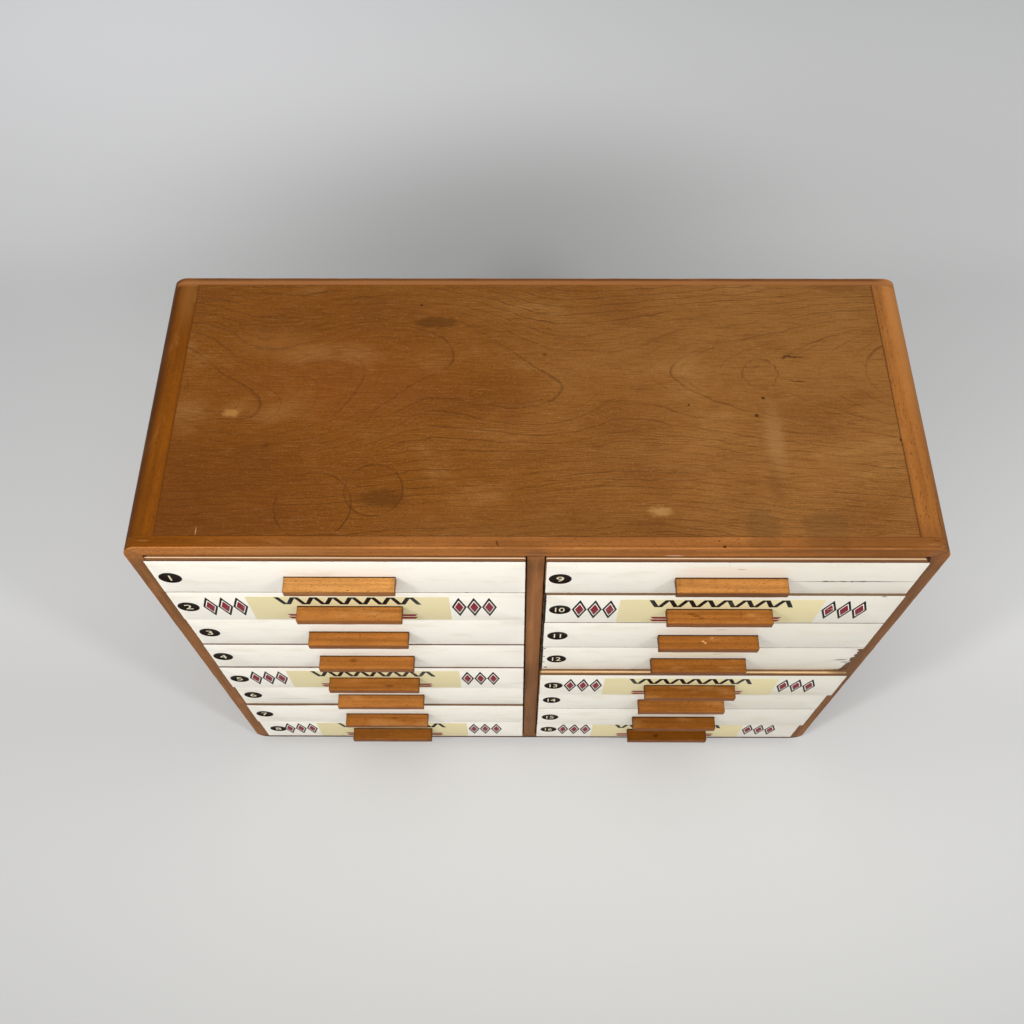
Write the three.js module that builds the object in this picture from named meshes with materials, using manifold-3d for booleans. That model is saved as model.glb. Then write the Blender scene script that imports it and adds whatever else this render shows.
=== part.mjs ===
// A haberdasher's sewing cabinet: a low wooden carcass with rounded corners, and two columns of
// eight equal drawers that slide on side runners. Millimetres, X to the right, Y to the back, Z up.
// The origin is on the floor under the middle of the carcass. The drawers stand a little open, by
// the different amounts that years of use have left.
import * as THREE from 'three';
import { mergeVertices } from 'three/addons/utils/BufferGeometryUtils.js';
import Module from 'manifold-3d';

const wasm = await Module();
wasm.setup();

// Carcass
const cabinetWidth = 1000;
const cabinetDepth = 415; // edging to edging, without drawer fronts and pulls
const cabinetHeight = 790;
const boardThickness = 22;
const dividerThickness = 22;
const frontEdgingDepth = 16; // solid strips on the front edges of the boards
const backEdgingDepth = 12;
const edgingEase = 1.6; // rounding of the edgings' outer arris
const cornerReach = 17; // from a board's inner face to the end of a corner block's leg
const cornerRadius = 22;
const glueLine = 0.1; // between faces that are glued together
const tongueThickness = 6; // tongues that join the boards to the corner blocks
const tongueLength = 8;
const tongueFit = 0.2; // clearance round a tongue
const housingDepth = 6; // how deep the divider is let into top and bottom
const backPanelThickness = 5;
const backRebateWidth = 8; // ledge that the back panel lies on
const backPanelFit = 0.4; // clearance round the back panel

// Drawers
const columns = 2;
const rows = 8;
const drawerGap = 1.2; // between one drawer front and the next
const frontSideGap = 1.5; // between a drawer front and the carcass at each side
const frontThickness = 20;
const frontCornerRadius = 2.5;
const frontEase = 0.8; // rounding of the arris round the front's face
const sideThickness = 12;
const sideRise = 3; // from the lower edge of the front up to the sides
const sideDrop = 11; // from the upper edge of the front down to the sides
const drawerBackThickness = 10;
const drawerBackDrop = 8; // how much lower the back is than the sides
const bottomThickness = 4;
const bottomRise = 6; // from the lower edge of the sides up to the bottom board
const bottomTongue = 6; // how far the bottom board enters the front
const rearClearance = 12; // air behind a shut drawer
const joineryFit = 0.15; // clearance in the dovetails and in the groove of the bottom board
const furthestLeftOpen = 15.3; // how far the most open drawer stands out from where it shuts

// Each drawer's share of that distance, from 1 at the top left down to 8, then 9 down to 16.
const leftOpenShares = [
  0.24, 0.22, 0.15, 0.22, 0.29, 0.05, 0.22, 0.06,
  0.25, 0.41, 0.41, 0.39, 1, 0.52, 0.5, 0.07,
];

// Dovetails between a drawer's sides and its front
const tailLength = 13;
const tailRootHeight = 12;
const tailPitch = 24; // least distance from one tail to the next
const tailSlopeShare = 1 / 7; // how much a tail widens on each side along its length

// Runners
const runnerHeight = 10;
const runnerEngagement = 6; // how far a runner reaches into the groove of a drawer's side
const runnerHousing = 3; // how deep a runner is let into its board
const runnerSetback = 1; // from the front edge of the boards back to the runners
const runnerNose = 2; // bevel that leads a drawer onto its runner
const runnerPlaceShare = 0.5; // height of the runner on a drawer's side
const runnerFit = 0.3; // running clearance above and below a runner
const grooveFloorFit = 0.6; // clearance between a runner and the floor of its groove
const stopFit = 0.3; // between the back of a shut front and the runners that stop it

// Pulls
const pullLength = 140;
const pullReach = 21;
const pullHeight = 14;
const pullDrop = 44; // from the upper edge of the front down to the top of the pull
const pullArris = 1.5;
const pullEndEase = 0.8;
const coveWidth = 11; // finger cove along the underside
const coveDepth = 2.4;
const coveSetback = 3; // from the pull's face back to the cove

const overrun = 5; // how far a cut passes beyond what it cuts
const cornerSteps = 8; // facets of the carcass's round corners
const easeSteps = 2; // facets of small roundings

// Places that follow from the sizes above
const frontPlane = -cabinetDepth / 2;
const backPlane = cabinetDepth / 2;
const boardFront = frontPlane + frontEdgingDepth + glueLine;
const boardBack = backPlane - backEdgingDepth - glueLine;
const boardDepth = boardBack - boardFront;
const boardMiddle = (boardFront + boardBack) / 2;
const backPanelFront = backPlane - backPanelThickness;
const cornerLeg = boardThickness + cornerReach;
const innerWidth = cabinetWidth - 2 * boardThickness;
const innerHeight = cabinetHeight - 2 * boardThickness;
const columnWidth = (innerWidth - dividerThickness) / columns;
const columnCentre = (dividerThickness + columnWidth) / 2;
const rowPitch = innerHeight / rows;
const runnerFront = boardFront + runnerSetback;
const runnerReach = frontSideGap + runnerEngagement;
const shutFace = runnerFront - stopFit - frontThickness;
const frontWidth = columnWidth - 2 * frontSideGap;
const frontHeight = rowPitch - drawerGap;
const sideTop = frontHeight - sideDrop;
const sideHeight = sideTop - sideRise;
const sideInner = frontWidth / 2 - sideThickness;
const boxBack = backPanelFront - rearClearance - shutFace;
const bottomLow = sideRise + bottomRise;
const bottomHigh = bottomLow + bottomThickness;
const runnerMiddle = sideRise + sideHeight * runnerPlaceShare;

const veneer = new THREE.MeshStandardMaterial({ color: 0x8a5a33, roughness: 0.5, metalness: 0 });
const edgingWood = new THREE.MeshStandardMaterial({ color: 0x9c6238, roughness: 0.45, metalness: 0 });
const pullWood = new THREE.MeshStandardMaterial({ color: 0xb06a35, roughness: 0.4, metalness: 0 });
const laminate = new THREE.MeshStandardMaterial({ color: 0xe9e4da, roughness: 0.4, metalness: 0 });
const drawerWood = new THREE.MeshStandardMaterial({ color: 0xcfae7c, roughness: 0.7, metalness: 0 });
const plywood = new THREE.MeshStandardMaterial({ color: 0xb98f5c, roughness: 0.75, metalness: 0 });

// A solid that can be joined and cut, from a closed geometry.
function solid(geometry) {
  const bare = geometry.index ? geometry.toNonIndexed() : geometry.clone();
  bare.deleteAttribute('normal');
  bare.deleteAttribute('uv');
  const merged = mergeVertices(bare);
  const vertProperties = merged.getAttribute('position').array;
  const triVerts = new Uint32Array(merged.index.array);
  return new wasm.Manifold(new wasm.Mesh({ numProp: 3, vertProperties, triVerts }));
}

// A named mesh from a solid.
function piece(name, made, material) {
  const { vertProperties, triVerts } = made.getMesh();
  const geometry = new THREE.BufferGeometry();
  geometry.setAttribute('position', new THREE.BufferAttribute(vertProperties, 3));
  geometry.setIndex(new THREE.BufferAttribute(triVerts, 1));
  geometry.computeVertexNormals();
  const mesh = new THREE.Mesh(geometry, material);
  mesh.name = name;
  return mesh;
}

// A rectangular bar between its lowest and highest corners.
function bar(low, high) {
  const geometry = new THREE.BoxGeometry(...high.map((value, axis) => value - low[axis]));
  geometry.translate(...high.map((value, axis) => (value + low[axis]) / 2));
  return solid(geometry);
}

// A bar between two corners that lie opposite each other through the origin.
function centredBar(...halves) {
  return bar(halves.map((half) => -half), halves);
}

// Several solids as one.
function joined(solids) {
  return solids.reduce((whole, next) => whole.add(next));
}

// The same solid on both sides of the plane x = 0.
function onBothSides(made) {
  return made.add(made.mirror([1, 0, 0]));
}

// A rectangle centred on the origin.
function rectangle(width, height) {
  const right = width / 2;
  const top = height / 2;
  return new THREE.Shape([
    new THREE.Vector2(-right, -top),
    new THREE.Vector2(right, -top),
    new THREE.Vector2(right, top),
    new THREE.Vector2(-right, top),
  ]);
}

// A rectangle with round corners, centred on the origin.
function roundedRectangle(width, height, radius) {
  const outline = new THREE.Shape();
  const right = width / 2 - radius;
  const top = height / 2 - radius;
  outline.absarc(right, -top, radius, -Math.PI / 2, 0);
  outline.absarc(right, top, radius, 0, Math.PI / 2);
  outline.absarc(-right, top, radius, Math.PI / 2, Math.PI);
  outline.absarc(-right, -top, radius, Math.PI, 1.5 * Math.PI);
  return outline;
}

// A plate with a sawn face on z = 0, and a rounded arris round its other face at z = thickness.
function easedPlate(outline, thickness, ease, curveSegments, bevelSegments) {
  const blank = new THREE.ExtrudeGeometry(outline, {
    depth: thickness - ease + overrun,
    bevelThickness: ease,
    bevelSize: ease,
    bevelOffset: -ease,
    bevelSegments,
    curveSegments,
  });
  blank.translate(0, 0, -overrun);
  const offcut = bar([-cabinetWidth, -cabinetHeight, -overrun - 2 * ease], [cabinetWidth, cabinetHeight, 0]);
  return solid(blank).subtract(offcut);
}

// A ring of strips round the carcass, lying in XY.
function edgingRing(depth) {
  const outline = roundedRectangle(cabinetWidth, cabinetHeight, cornerRadius);
  outline.holes.push(rectangle(innerWidth, innerHeight));
  return easedPlate(outline, depth, edgingEase, cornerSteps, easeSteps);
}

// The front edging: strips all round, and one down the front of the divider.
function frontEdging() {
  const strip = rectangle(dividerThickness, innerHeight + boardThickness);
  const middle = easedPlate(strip, frontEdgingDepth, edgingEase, 1, easeSteps);
  const frame = edgingRing(frontEdgingDepth).add(middle).rotate([90, 0, 0]);
  const mesh = piece('front_edging', frame, edgingWood);
  mesh.position.set(0, frontPlane + frontEdgingDepth, cabinetHeight / 2);
  return mesh;
}

// The back edging, rebated for the back panel.
function backEdging() {
  const ledge = backEdgingDepth - backPanelThickness - glueLine;
  const halfWidth = innerWidth / 2 + backRebateWidth;
  const halfHeight = innerHeight / 2 + backRebateWidth;
  const rebate = bar([-halfWidth, -halfHeight, ledge], [halfWidth, halfHeight, backEdgingDepth + overrun]);
  const ring = edgingRing(backEdgingDepth).subtract(rebate).rotate([-90, 0, 0]);
  const mesh = piece('back_edging', ring, edgingWood);
  mesh.position.set(0, backPlane - backEdgingDepth, cabinetHeight / 2);
  return mesh;
}

// The thin panel in the rebate of the back edging.
function backPanel() {
  const halfWidth = innerWidth / 2 + backRebateWidth - backPanelFit;
  const halfHeight = innerHeight / 2 + backRebateWidth - backPanelFit;
  const mesh = piece('back_panel', centredBar(halfWidth, backPanelThickness / 2, halfHeight), plywood);
  mesh.position.set(0, backPlane - backPanelThickness / 2, cabinetHeight / 2);
  return mesh;
}

// Section of a solid corner block: its outer corner is the origin, and each leg's end has a groove.
function cornerSection() {
  const near = (boardThickness - tongueThickness) / 2 - tongueFit;
  const far = (boardThickness + tongueThickness) / 2 + tongueFit;
  const floor = cornerLeg - tongueLength - tongueFit;
  const leg = [
    [cornerLeg, 0],
    [cornerLeg, near],
    [floor, near],
    [floor, far],
    [cornerLeg, far],
    [cornerLeg, boardThickness],
  ];
  const outline = new THREE.Shape();
  outline.absarc(cornerRadius, cornerRadius, cornerRadius, Math.PI, 1.5 * Math.PI);
  leg.forEach(([along, across]) => outline.lineTo(along, across));
  outline.lineTo(boardThickness, boardThickness);
  leg.reverse().forEach(([along, across]) => outline.lineTo(across, along));
  return outline;
}

// The four corner blocks: one section, turned by quarter turns about Y.
function cornerBlocks() {
  const section = cornerSection();
  const settings = { depth: boardDepth, bevelEnabled: false, curveSegments: cornerSteps };
  const block = solid(new THREE.ExtrudeGeometry(section, settings)).rotate([90, 0, 0]);
  const corners = [
    ['bottom_left', -1, 0, 0],
    ['top_left', -1, 1, 1],
    ['top_right', 1, 1, 2],
    ['bottom_right', 1, 0, 3],
  ];
  return corners.map(([place, side, level, quarterTurns]) => {
    const mesh = piece(`${place}_corner_block`, block, edgingWood);
    mesh.rotation.y = quarterTurns * Math.PI / 2;
    mesh.position.set(side * cabinetWidth / 2, boardBack, level * cabinetHeight);
    return mesh;
  });
}

// A board that lies in XY and fills the space between two corner blocks, with a tongue at each end.
function tonguedBoard(overallLength) {
  const halfLength = overallLength / 2 - cornerLeg - glueLine;
  const board = centredBar(halfLength, boardDepth / 2, boardThickness / 2);
  const tongues = centredBar(halfLength + tongueLength, boardDepth / 2, tongueThickness / 2);
  return board.add(tongues);
}

// The top or bottom board, with a housing for the divider in its inner face.
function levelBoard(name, side) {
  const halfHousing = dividerThickness / 2 + tongueFit;
  const floor = boardThickness / 2 - housingDepth;
  const beyond = [boardDepth / 2 + overrun, boardThickness / 2 + overrun];
  const housing = bar([-halfHousing, -beyond[0], floor], [halfHousing, beyond[0], beyond[1]]);
  const mesh = piece(name, tonguedBoard(cabinetWidth).subtract(housing), veneer);
  mesh.rotation.y = side < 0 ? 0 : Math.PI;
  mesh.position.set(0, boardMiddle, (cabinetHeight + side * (cabinetHeight - boardThickness)) / 2);
  return mesh;
}

// The runners of one column as bars on the plane x = 0, reaching towards +x.
function runners() {
  const outline = new THREE.Shape();
  outline.moveTo(-runnerHousing, runnerFront);
  outline.lineTo(runnerReach - runnerNose, runnerFront);
  outline.lineTo(runnerReach, runnerFront + runnerNose);
  outline.lineTo(runnerReach, boardBack);
  outline.lineTo(-runnerHousing, boardBack);
  const runner = solid(new THREE.ExtrudeGeometry(outline, { depth: runnerHeight, bevelEnabled: false }));
  const lowest = boardThickness + drawerGap / 2 + runnerMiddle - runnerHeight / 2;
  const places = Array.from({ length: rows }, (_, row) => lowest + row * rowPitch);
  return joined(places.map((height) => runner.translate([0, 0, height])));
}

// A side board with its runners.
function sideBoard(name, side) {
  const middle = [side * (cabinetWidth - boardThickness) / 2, boardMiddle, cabinetHeight / 2];
  const board = tonguedBoard(cabinetHeight).rotate([0, 90, 0]).translate(middle);
  const inward = side < 0 ? runners() : runners().mirror([1, 0, 0]);
  return piece(name, board.add(inward.translate([side * innerWidth / 2, 0, 0])), veneer);
}

// The divider, housed in top and bottom and reaching back to the back panel, with its runners.
function centreDivider() {
  const half = dividerThickness / 2;
  const housed = boardThickness - housingDepth + tongueFit;
  const clear = boardThickness + glueLine;
  const board = bar([-half, boardFront, housed], [half, boardBack, cabinetHeight - housed]);
  const rear = bar([-half, boardMiddle, clear], [half, backPanelFront - glueLine, cabinetHeight - clear]);
  const faced = onBothSides(runners().translate([half, 0, 0]));
  return piece('centre_divider', board.add(rear).add(faced), veneer);
}

// Side view of one dovetail: its root is on x = 0, where the shoulder is, and its tip at -length.
function tailOutline(spare) {
  const root = tailRootHeight / 2 + spare;
  const length = tailLength + spare;
  const tip = root + length * tailSlopeShare;
  return new THREE.Shape([
    new THREE.Vector2(overrun, -root),
    new THREE.Vector2(overrun, root),
    new THREE.Vector2(0, root),
    new THREE.Vector2(-length, tip),
    new THREE.Vector2(-length, -tip),
    new THREE.Vector2(0, -root),
  ]);
}

// The dovetails of the right side, or with spare room round them their sockets.
function tails(spare, width) {
  const count = Math.max(1, Math.floor(sideHeight / tailPitch));
  const shape = new THREE.ExtrudeGeometry(tailOutline(spare), { depth: width, bevelEnabled: false });
  const tail = solid(shape).rotate([90, 0, 90]);
  const heights = Array.from({ length: count }, (_, index) => sideRise + (index + 0.5) * sideHeight / count);
  return joined(heights.map((height) => tail.translate([sideInner - spare, frontThickness, height])));
}

// A drawer front, with sockets for the tails of the sides and a groove for the bottom board.
function drawerFront() {
  const outline = roundedRectangle(frontWidth, frontHeight, frontCornerRadius);
  const plate = easedPlate(outline, frontThickness, frontEase, easeSteps, 1).rotate([90, 0, 0]);
  const sockets = onBothSides(tails(joineryFit, sideThickness + joineryFit + overrun));
  const floor = frontThickness - bottomTongue - joineryFit;
  const groove = bar(
    [-sideInner, floor, bottomLow - joineryFit],
    [sideInner, frontThickness + overrun, bottomHigh + joineryFit],
  );
  return plate.translate([0, frontThickness, frontHeight / 2]).subtract(sockets).subtract(groove);
}

// A drawer's right side: its tails reach into the front, and its groove takes a runner.
function drawerSide() {
  const outer = frontWidth / 2;
  const board = bar([sideInner, frontThickness + glueLine, sideRise], [outer, boxBack, sideTop]);
  const reach = runnerHeight / 2 + runnerFit;
  const floor = outer - runnerEngagement - grooveFloorFit;
  const groove = bar(
    [floor, frontThickness, runnerMiddle - reach],
    [outer + overrun, boxBack + overrun, runnerMiddle + reach],
  );
  return board.add(tails(0, sideThickness)).subtract(groove);
}

// A drawer box: two sides, a lower back, and a bottom board that enters the front.
function drawerBox() {
  const backLow = [-sideInner, boxBack - drawerBackThickness, bottomLow];
  const backHigh = [sideInner, boxBack, sideTop - drawerBackDrop];
  const start = frontThickness + glueLine;
  const bottom = bar([-sideInner, start, bottomLow], [sideInner, boxBack, bottomHigh]);
  const halfTongue = sideInner - joineryFit;
  const tongue = bar(
    [-halfTongue, frontThickness - bottomTongue, bottomLow],
    [halfTongue, boxBack, bottomHigh],
  );
  return joined([onBothSides(drawerSide()), bar(backLow, backHigh), bottom, tongue]);
}

// Section of a pull: its back is on x = 0 and its top on y = 0, with the finger cove below.
function pullSection() {
  const coveFront = pullReach - coveSetback;
  const coveBack = coveFront - coveWidth;
  const inner = pullReach - pullArris;
  const outline = new THREE.Shape();
  outline.lineTo(0, -pullHeight);
  outline.lineTo(coveBack, -pullHeight);
  outline.quadraticCurveTo((coveBack + coveFront) / 2, 2 * coveDepth - pullHeight, coveFront, -pullHeight);
  outline.absarc(inner, pullArris - pullHeight, pullArris, -Math.PI / 2, 0);
  outline.absarc(inner, -pullArris, pullArris, 0, Math.PI / 2);
  return outline;
}

// A wooden bar pull, its back on y = 0 and its top on z = 0.
function pull() {
  const blank = new THREE.ExtrudeGeometry(pullSection(), {
    depth: pullLength - 2 * pullEndEase,
    bevelThickness: pullEndEase,
    bevelSize: pullEndEase,
    bevelOffset: -pullEndEase,
    bevelSegments: 1,
    curveSegments: easeSteps,
  });
  blank.translate(0, 0, pullEndEase - pullLength / 2);
  return solid(blank).rotate([90, 0, -90]);
}

// One drawer. Its origin is on the outer face of its front, at the middle of the lower edge.
function drawer(number, made) {
  const name = `drawer_${String(number).padStart(2, '0')}`;
  const handle = piece(`${name}_pull`, made.pull, pullWood);
  handle.position.set(0, -glueLine, frontHeight - pullDrop);
  const face = piece(`${name}_front`, made.front, laminate);
  const box = piece(`${name}_box`, made.box, drawerWood);
  const group = new THREE.Group();
  group.add(face, box, handle);
  return group;
}

// All the drawers, numbered down the left column and then down the right one.
function drawers() {
  const made = { front: drawerFront(), box: drawerBox(), pull: pull() };
  return leftOpenShares.map((share, index) => {
    const column = Math.floor(index / rows);
    const row = rows - 1 - (index % rows);
    const group = drawer(index + 1, made);
    group.position.x = (2 * column - 1) * columnCentre;
    group.position.y = shutFace - furthestLeftOpen * share;
    group.position.z = boardThickness + row * rowPitch + drawerGap / 2;
    return group;
  });
}

const cabinet = new THREE.Group();
cabinet.add(
  levelBoard('top_panel', 1),
  levelBoard('bottom_panel', -1),
  sideBoard('left_side_panel', -1),
  sideBoard('right_side_panel', 1),
  centreDivider(),
  ...cornerBlocks(),
  frontEdging(),
  backEdging(),
  backPanel(),
  ...drawers(),
);

export default cabinet;
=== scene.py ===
"""Looks of the sewing cabinet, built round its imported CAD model.

The file is laid out as a Blender add-on and is run as a script. Lengths are in metres, with X to the
right, Y to the back and Z up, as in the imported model. A piece that repeats is made by a loop over the
drawers, and a shape is rings of points worked out as whole arrays.
"""

import functools
import math

import bmesh
import bpy
import numpy as np
from mathutils import Matrix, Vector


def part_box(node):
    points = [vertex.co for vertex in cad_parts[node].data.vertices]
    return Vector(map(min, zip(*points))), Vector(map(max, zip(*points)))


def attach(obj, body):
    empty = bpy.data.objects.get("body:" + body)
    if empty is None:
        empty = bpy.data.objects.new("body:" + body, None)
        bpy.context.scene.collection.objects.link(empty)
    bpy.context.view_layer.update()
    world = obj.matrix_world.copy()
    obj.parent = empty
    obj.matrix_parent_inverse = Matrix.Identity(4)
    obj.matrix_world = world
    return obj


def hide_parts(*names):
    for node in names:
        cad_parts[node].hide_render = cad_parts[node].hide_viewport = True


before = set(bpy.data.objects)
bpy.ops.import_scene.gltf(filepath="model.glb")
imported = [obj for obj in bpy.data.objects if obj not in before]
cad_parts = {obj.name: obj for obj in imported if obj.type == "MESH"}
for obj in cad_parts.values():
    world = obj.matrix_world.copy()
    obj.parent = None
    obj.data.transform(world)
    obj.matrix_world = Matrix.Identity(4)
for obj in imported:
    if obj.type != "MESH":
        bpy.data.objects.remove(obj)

bl_info = {
    "name": "Sewing cabinet",
    "version": (1, 0, 0),
    "blender": (4, 5, 0),
    "location": "View3D > Sidebar > Sewing cabinet",
    "description": "Finishes the packed sewing cabinet: woods, white fronts, numbers, prints and pulls",
    "category": "Object",
}

MM = 0.001
ALONG_X, ALONG_Y, ALONG_Z = 0, 1, 2
# Angles from which an edge stays sharp, doubles to merge, and sine waves in a wandering line
SHARP = math.radians(32)
NUMERAL_SHARP = math.radians(30)
DOUBLES = 0.002 * MM
WAVES = 7

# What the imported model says: its box, its corner blocks and the front and pull of each drawer
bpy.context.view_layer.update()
EDGING_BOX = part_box("front_edging")
BACK_EDGING_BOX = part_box("back_edging")
TOP_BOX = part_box("top_panel")
BLOCK_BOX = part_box("top_left_corner_block")
BACK_PANEL_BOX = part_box("back_panel")
BOARD = TOP_BOX[1].z - TOP_BOX[0].z
HALF_WIDTH = EDGING_BOX[1].x
HEIGHT = EDGING_BOX[1].z
CORNER_LEG = BLOCK_BOX[1].x - BLOCK_BOX[0].x
NUMBERS = range(1, 17)
FRONT_BOXES = {number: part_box(f"drawer_{number:02d}_front") for number in NUMBERS}
PULL_BOXES = {number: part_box(f"drawer_{number:02d}_pull") for number in NUMBERS}

# Marks of use, and painted shade and shadows in some later tables: centre and half sizes in mm, colour,
# strength and softness of the rim
# On the top: pale scars, dark blots, lines at the knots, stains and broad darker and paler places
VENEER_MARKS = (
    ((-389, -15, 790), (9, 6.6, 9), "#a6763c", 0.75, 0.6),
    ((151, -157, 790), (13, 6, 9), "#a67a46", 0.75, 0.6),
    ((-132, 131, 790), (29, 9, 9), "#4f2d0a", 0.6, 0.2),
    ((-190, -140, 790), (28, 12, 9), "#4d2907", 0.6, 0.6),
    ((340, 74, 790), (15, 1.6, 9), "#3a1e06", 0.75, 0.4),
    ((342, 36, 790), (11, 1.4, 9), "#3a1e06", 0.75, 0.4),
    ((-340, -63, 790), (4, 5, 9), "#4a2808", 0.5, 0.6),
    ((302, -55, 790), (11, 42, 9), "#a98150", 0.3, 0.8),
    ((296, -118, 790), (8, 30, 9), "#5f3a16", 0.3, 0.7),
    ((273, -176, 790), (20, 24, 9), "#54391d", 0.3, 0.25),
    ((350, -178, 790), (28, 22, 9), "#54391d", 0.3, 0.25),
    ((-450, -158, 790), (145, 112, 9), "#522602", 0.48, 0.9),
    ((45, -184, 790), (170, 26, 9), "#4c2a0c", 0.22, 0.9),
    ((-250, 35, 790), (110, 55, 9), "#7d3f17", 0.2, 0.8),
    ((-340, 95, 790), (50, 22, 9), "#9c6a38", 0.17, 0.7),
)
# Small ones on the top: dark dents, and a pale scratch last
VENEER_NICKS = (
    ((282.6, -18, 790), (2.4, 2.2, 9), "#2d1606", 0.85, 0.5),
    ((293.6, 9, 790), (2.4, 2, 9), "#2d1606", 0.85, 0.5),
    ((197, -2, 790), (1.6, 1.4, 9), "#2d1606", 0.85, 0.5),
    ((-153, 160, 790), (2, 1.6, 9), "#2d1606", 0.85, 0.5),
    ((13, 78, 790), (3, 2.4, 9), "#4a2808", 0.6, 0.5),
    ((460.6, -54, 790), (2.2, 2.2, 9), "#1f1005", 0.9, 0.4),
    ((-410.5, -185, 790), (0.45, 5, 9), "#d0a878", 0.6, 0.4),
)
# On the solid edging: stains that run over from the top, dents, scratches at the corners, a check in the
# right block, places where the varnish has darkened or worn thin on the blocks and the rails, among them
# darkened varnish and painted shade along the left block's round outer edge, and then the tones of the
# upright lips, a painted shadow line under the top rail and a painted contact shadow along the foot
EDGING_MARKS_AND_SHADE = (
    ((273, -199, 790), (20, 9, 6), "#5a3c1e", 0.32, 0.25),
    ((350, -199, 790), (28, 9, 6), "#5a3c1e", 0.32, 0.25),
    ((-47.4, -199.4, 790), (1.2, 2, 6), "#1c0c04", 0.95, 0.4),
    ((-46.2, -202.4, 790), (1.1, 2, 6), "#1c0c04", 0.9, 0.4),
    ((225, -205, 790), (1.9, 1.8, 5), "#180b04", 0.95, 0.4),
    ((219, -197, 790), (1.2, 1.1, 5), "#3a1c0a", 0.7, 0.4),
    ((167.5, -207, 770.5), (11, 3, 1.7), "#e0b896", 0.6, 0.5),
    ((474, -201, 790), (5, 0.8, 6), "#c58e5a", 0.5, 0.5),
    ((486, -204, 790), (3, 1.0, 6), "#cf9c6a", 0.5, 0.5),
    ((480, -196, 790), (5, 0.7, 6), "#33190a", 0.7, 0.5),
    ((490, -199, 790), (3, 0.8, 6), "#33190a", 0.7, 0.5),
    ((489, -168, 790), (0.6, 22, 6), "#2a1408", 0.75, 0.5),
    ((-472, -198, 790), (7, 1.0, 6), "#b07a42", 0.25, 0.5),
    ((497, 195, 790), (18, 190, 60), "#c28246", 0.9, 0.9),
    ((415, -200, 785), (115, 26, 30), "#6a3f1c", 0.62, 0.8),
    ((60, -200, 793), (260, 9, 8), "#6a3f1c", 0.3, 0.5),
    ((-35, -204, 787), (42, 11, 16), "#6a3f1c", 0.42, 0.8),
    ((-330, -208, 780), (60, 5, 9), "#c38c58", 0.3, 0.8),
    # Darkened varnish and painted shade along the left block's round outer edge
    ((-494, 10, 785), (9, 170, 20), "#4e2a08", 0.55, 0.8),
    ((-472, 185, 790), (10, 50, 20), "#9a6a38", 0.3, 0.8),
    ((0, 198, 790), (900, 4.5, 6), "#9a6438", 0.8, 0.5),
    ((489, -207, 560), (15, 8, 260), "#46464a", 0.14, 0.5),
    ((489, -207, 752), (13, 6, 26), "#3c2818", 0.22, 0.5),
    ((0, -207, 545), (14, 8, 180), "#d98e55", 0.22, 0.4),
    ((0, -207, 758), (14, 6, 30), "#3c2818", 0.3, 0.5),
    ((-489, -207, 760), (13, 6, 18), "#3c2818", 0.18, 0.5),
    # A painted shadow line under the top rail
    ((0, -207, 768.3), (480, 3, 1.4), "#452410", 0.6, 0.4),
    # A painted contact shadow along the foot
    ((0, -207, 0), (900, 6, 12), "#2c1a0e", 0.75, 0.5),
)
# On the fronts: the drawer, the place from the middle of its lower edge, and half sizes, right and up
FRONT_MARKS = (
    (9, (154.5, 37), (72, 1.0), "#33201a", 1.0, 0.4),
    (9, (118, 37.4), (4, 1.7), "#30100c", 0.9, 0.5),
    (9, (127, 36.8), (2.4, 1.4), "#7a1c14", 0.9, 0.5),
    (9, (141, 37.2), (5, 1.6), "#4a120e", 0.9, 0.5),
    (9, (153, 36.9), (2.2, 1.9), "#1a0e0b", 0.9, 0.5),
    (9, (166, 37.4), (4, 1.5), "#30100c", 0.9, 0.5),
    (9, (8, 72), (5, 1.4), "#8a7866", 0.6, 0.5),
    (9, (0, 70), (70, 9), "#ecd2b4", 0.28, 0.15),
    (11, (0, 66), (68, 10), "#e8ccb8", 0.25, 0.15),
    (11, (15, 67), (9, 1.5), "#a08a78", 0.5, 0.5),
    (12, (0, 64), (66, 9), "#eadfb4", 0.4, 0.15),
    (12, (25, 65), (8, 1.5), "#a08a78", 0.4, 0.5),
    (12, (212, 43), (10, 1.5), "#3a2415", 0.95, 0.3),
    (12, (220, 34), (7, 1.5), "#3a2415", 0.95, 0.3),
    (12, (-227, 87), (1.8, 2.2), "#2a1a12", 0.9, 0.4),
    (12, (-228, 54), (1.5, 1.6), "#2a1a12", 0.9, 0.4),
    (12, (-228, 31), (2.2, 1.6), "#2a1a12", 0.9, 0.4),
    (12, (-225, 8), (3.4, 2.6), "#5a3a22", 0.9, 0.5),
    (10, (205, 89), (3.5, 1.6), "#4a2c18", 0.85, 0.5),
    (7, (-178, 91.8), (56, 1.9), "#3a2213", 0.95, 0.3),
    (5, (-150, 92.2), (86, 1.1), "#3a2213", 0.9, 0.3),
    (6, (-150, 27), (34, 0.9), "#8f8474", 0.5, 0.6),
    (3, (-20, 20), (90, 12), "#e6dcc6", 0.5, 0.7),
    (13, (150, 12), (60, 9), "#d9cfae", 0.6, 0.6),
    (14, (60, 30), (120, 14), "#e0d9c0", 0.5, 0.7),
)
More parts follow.
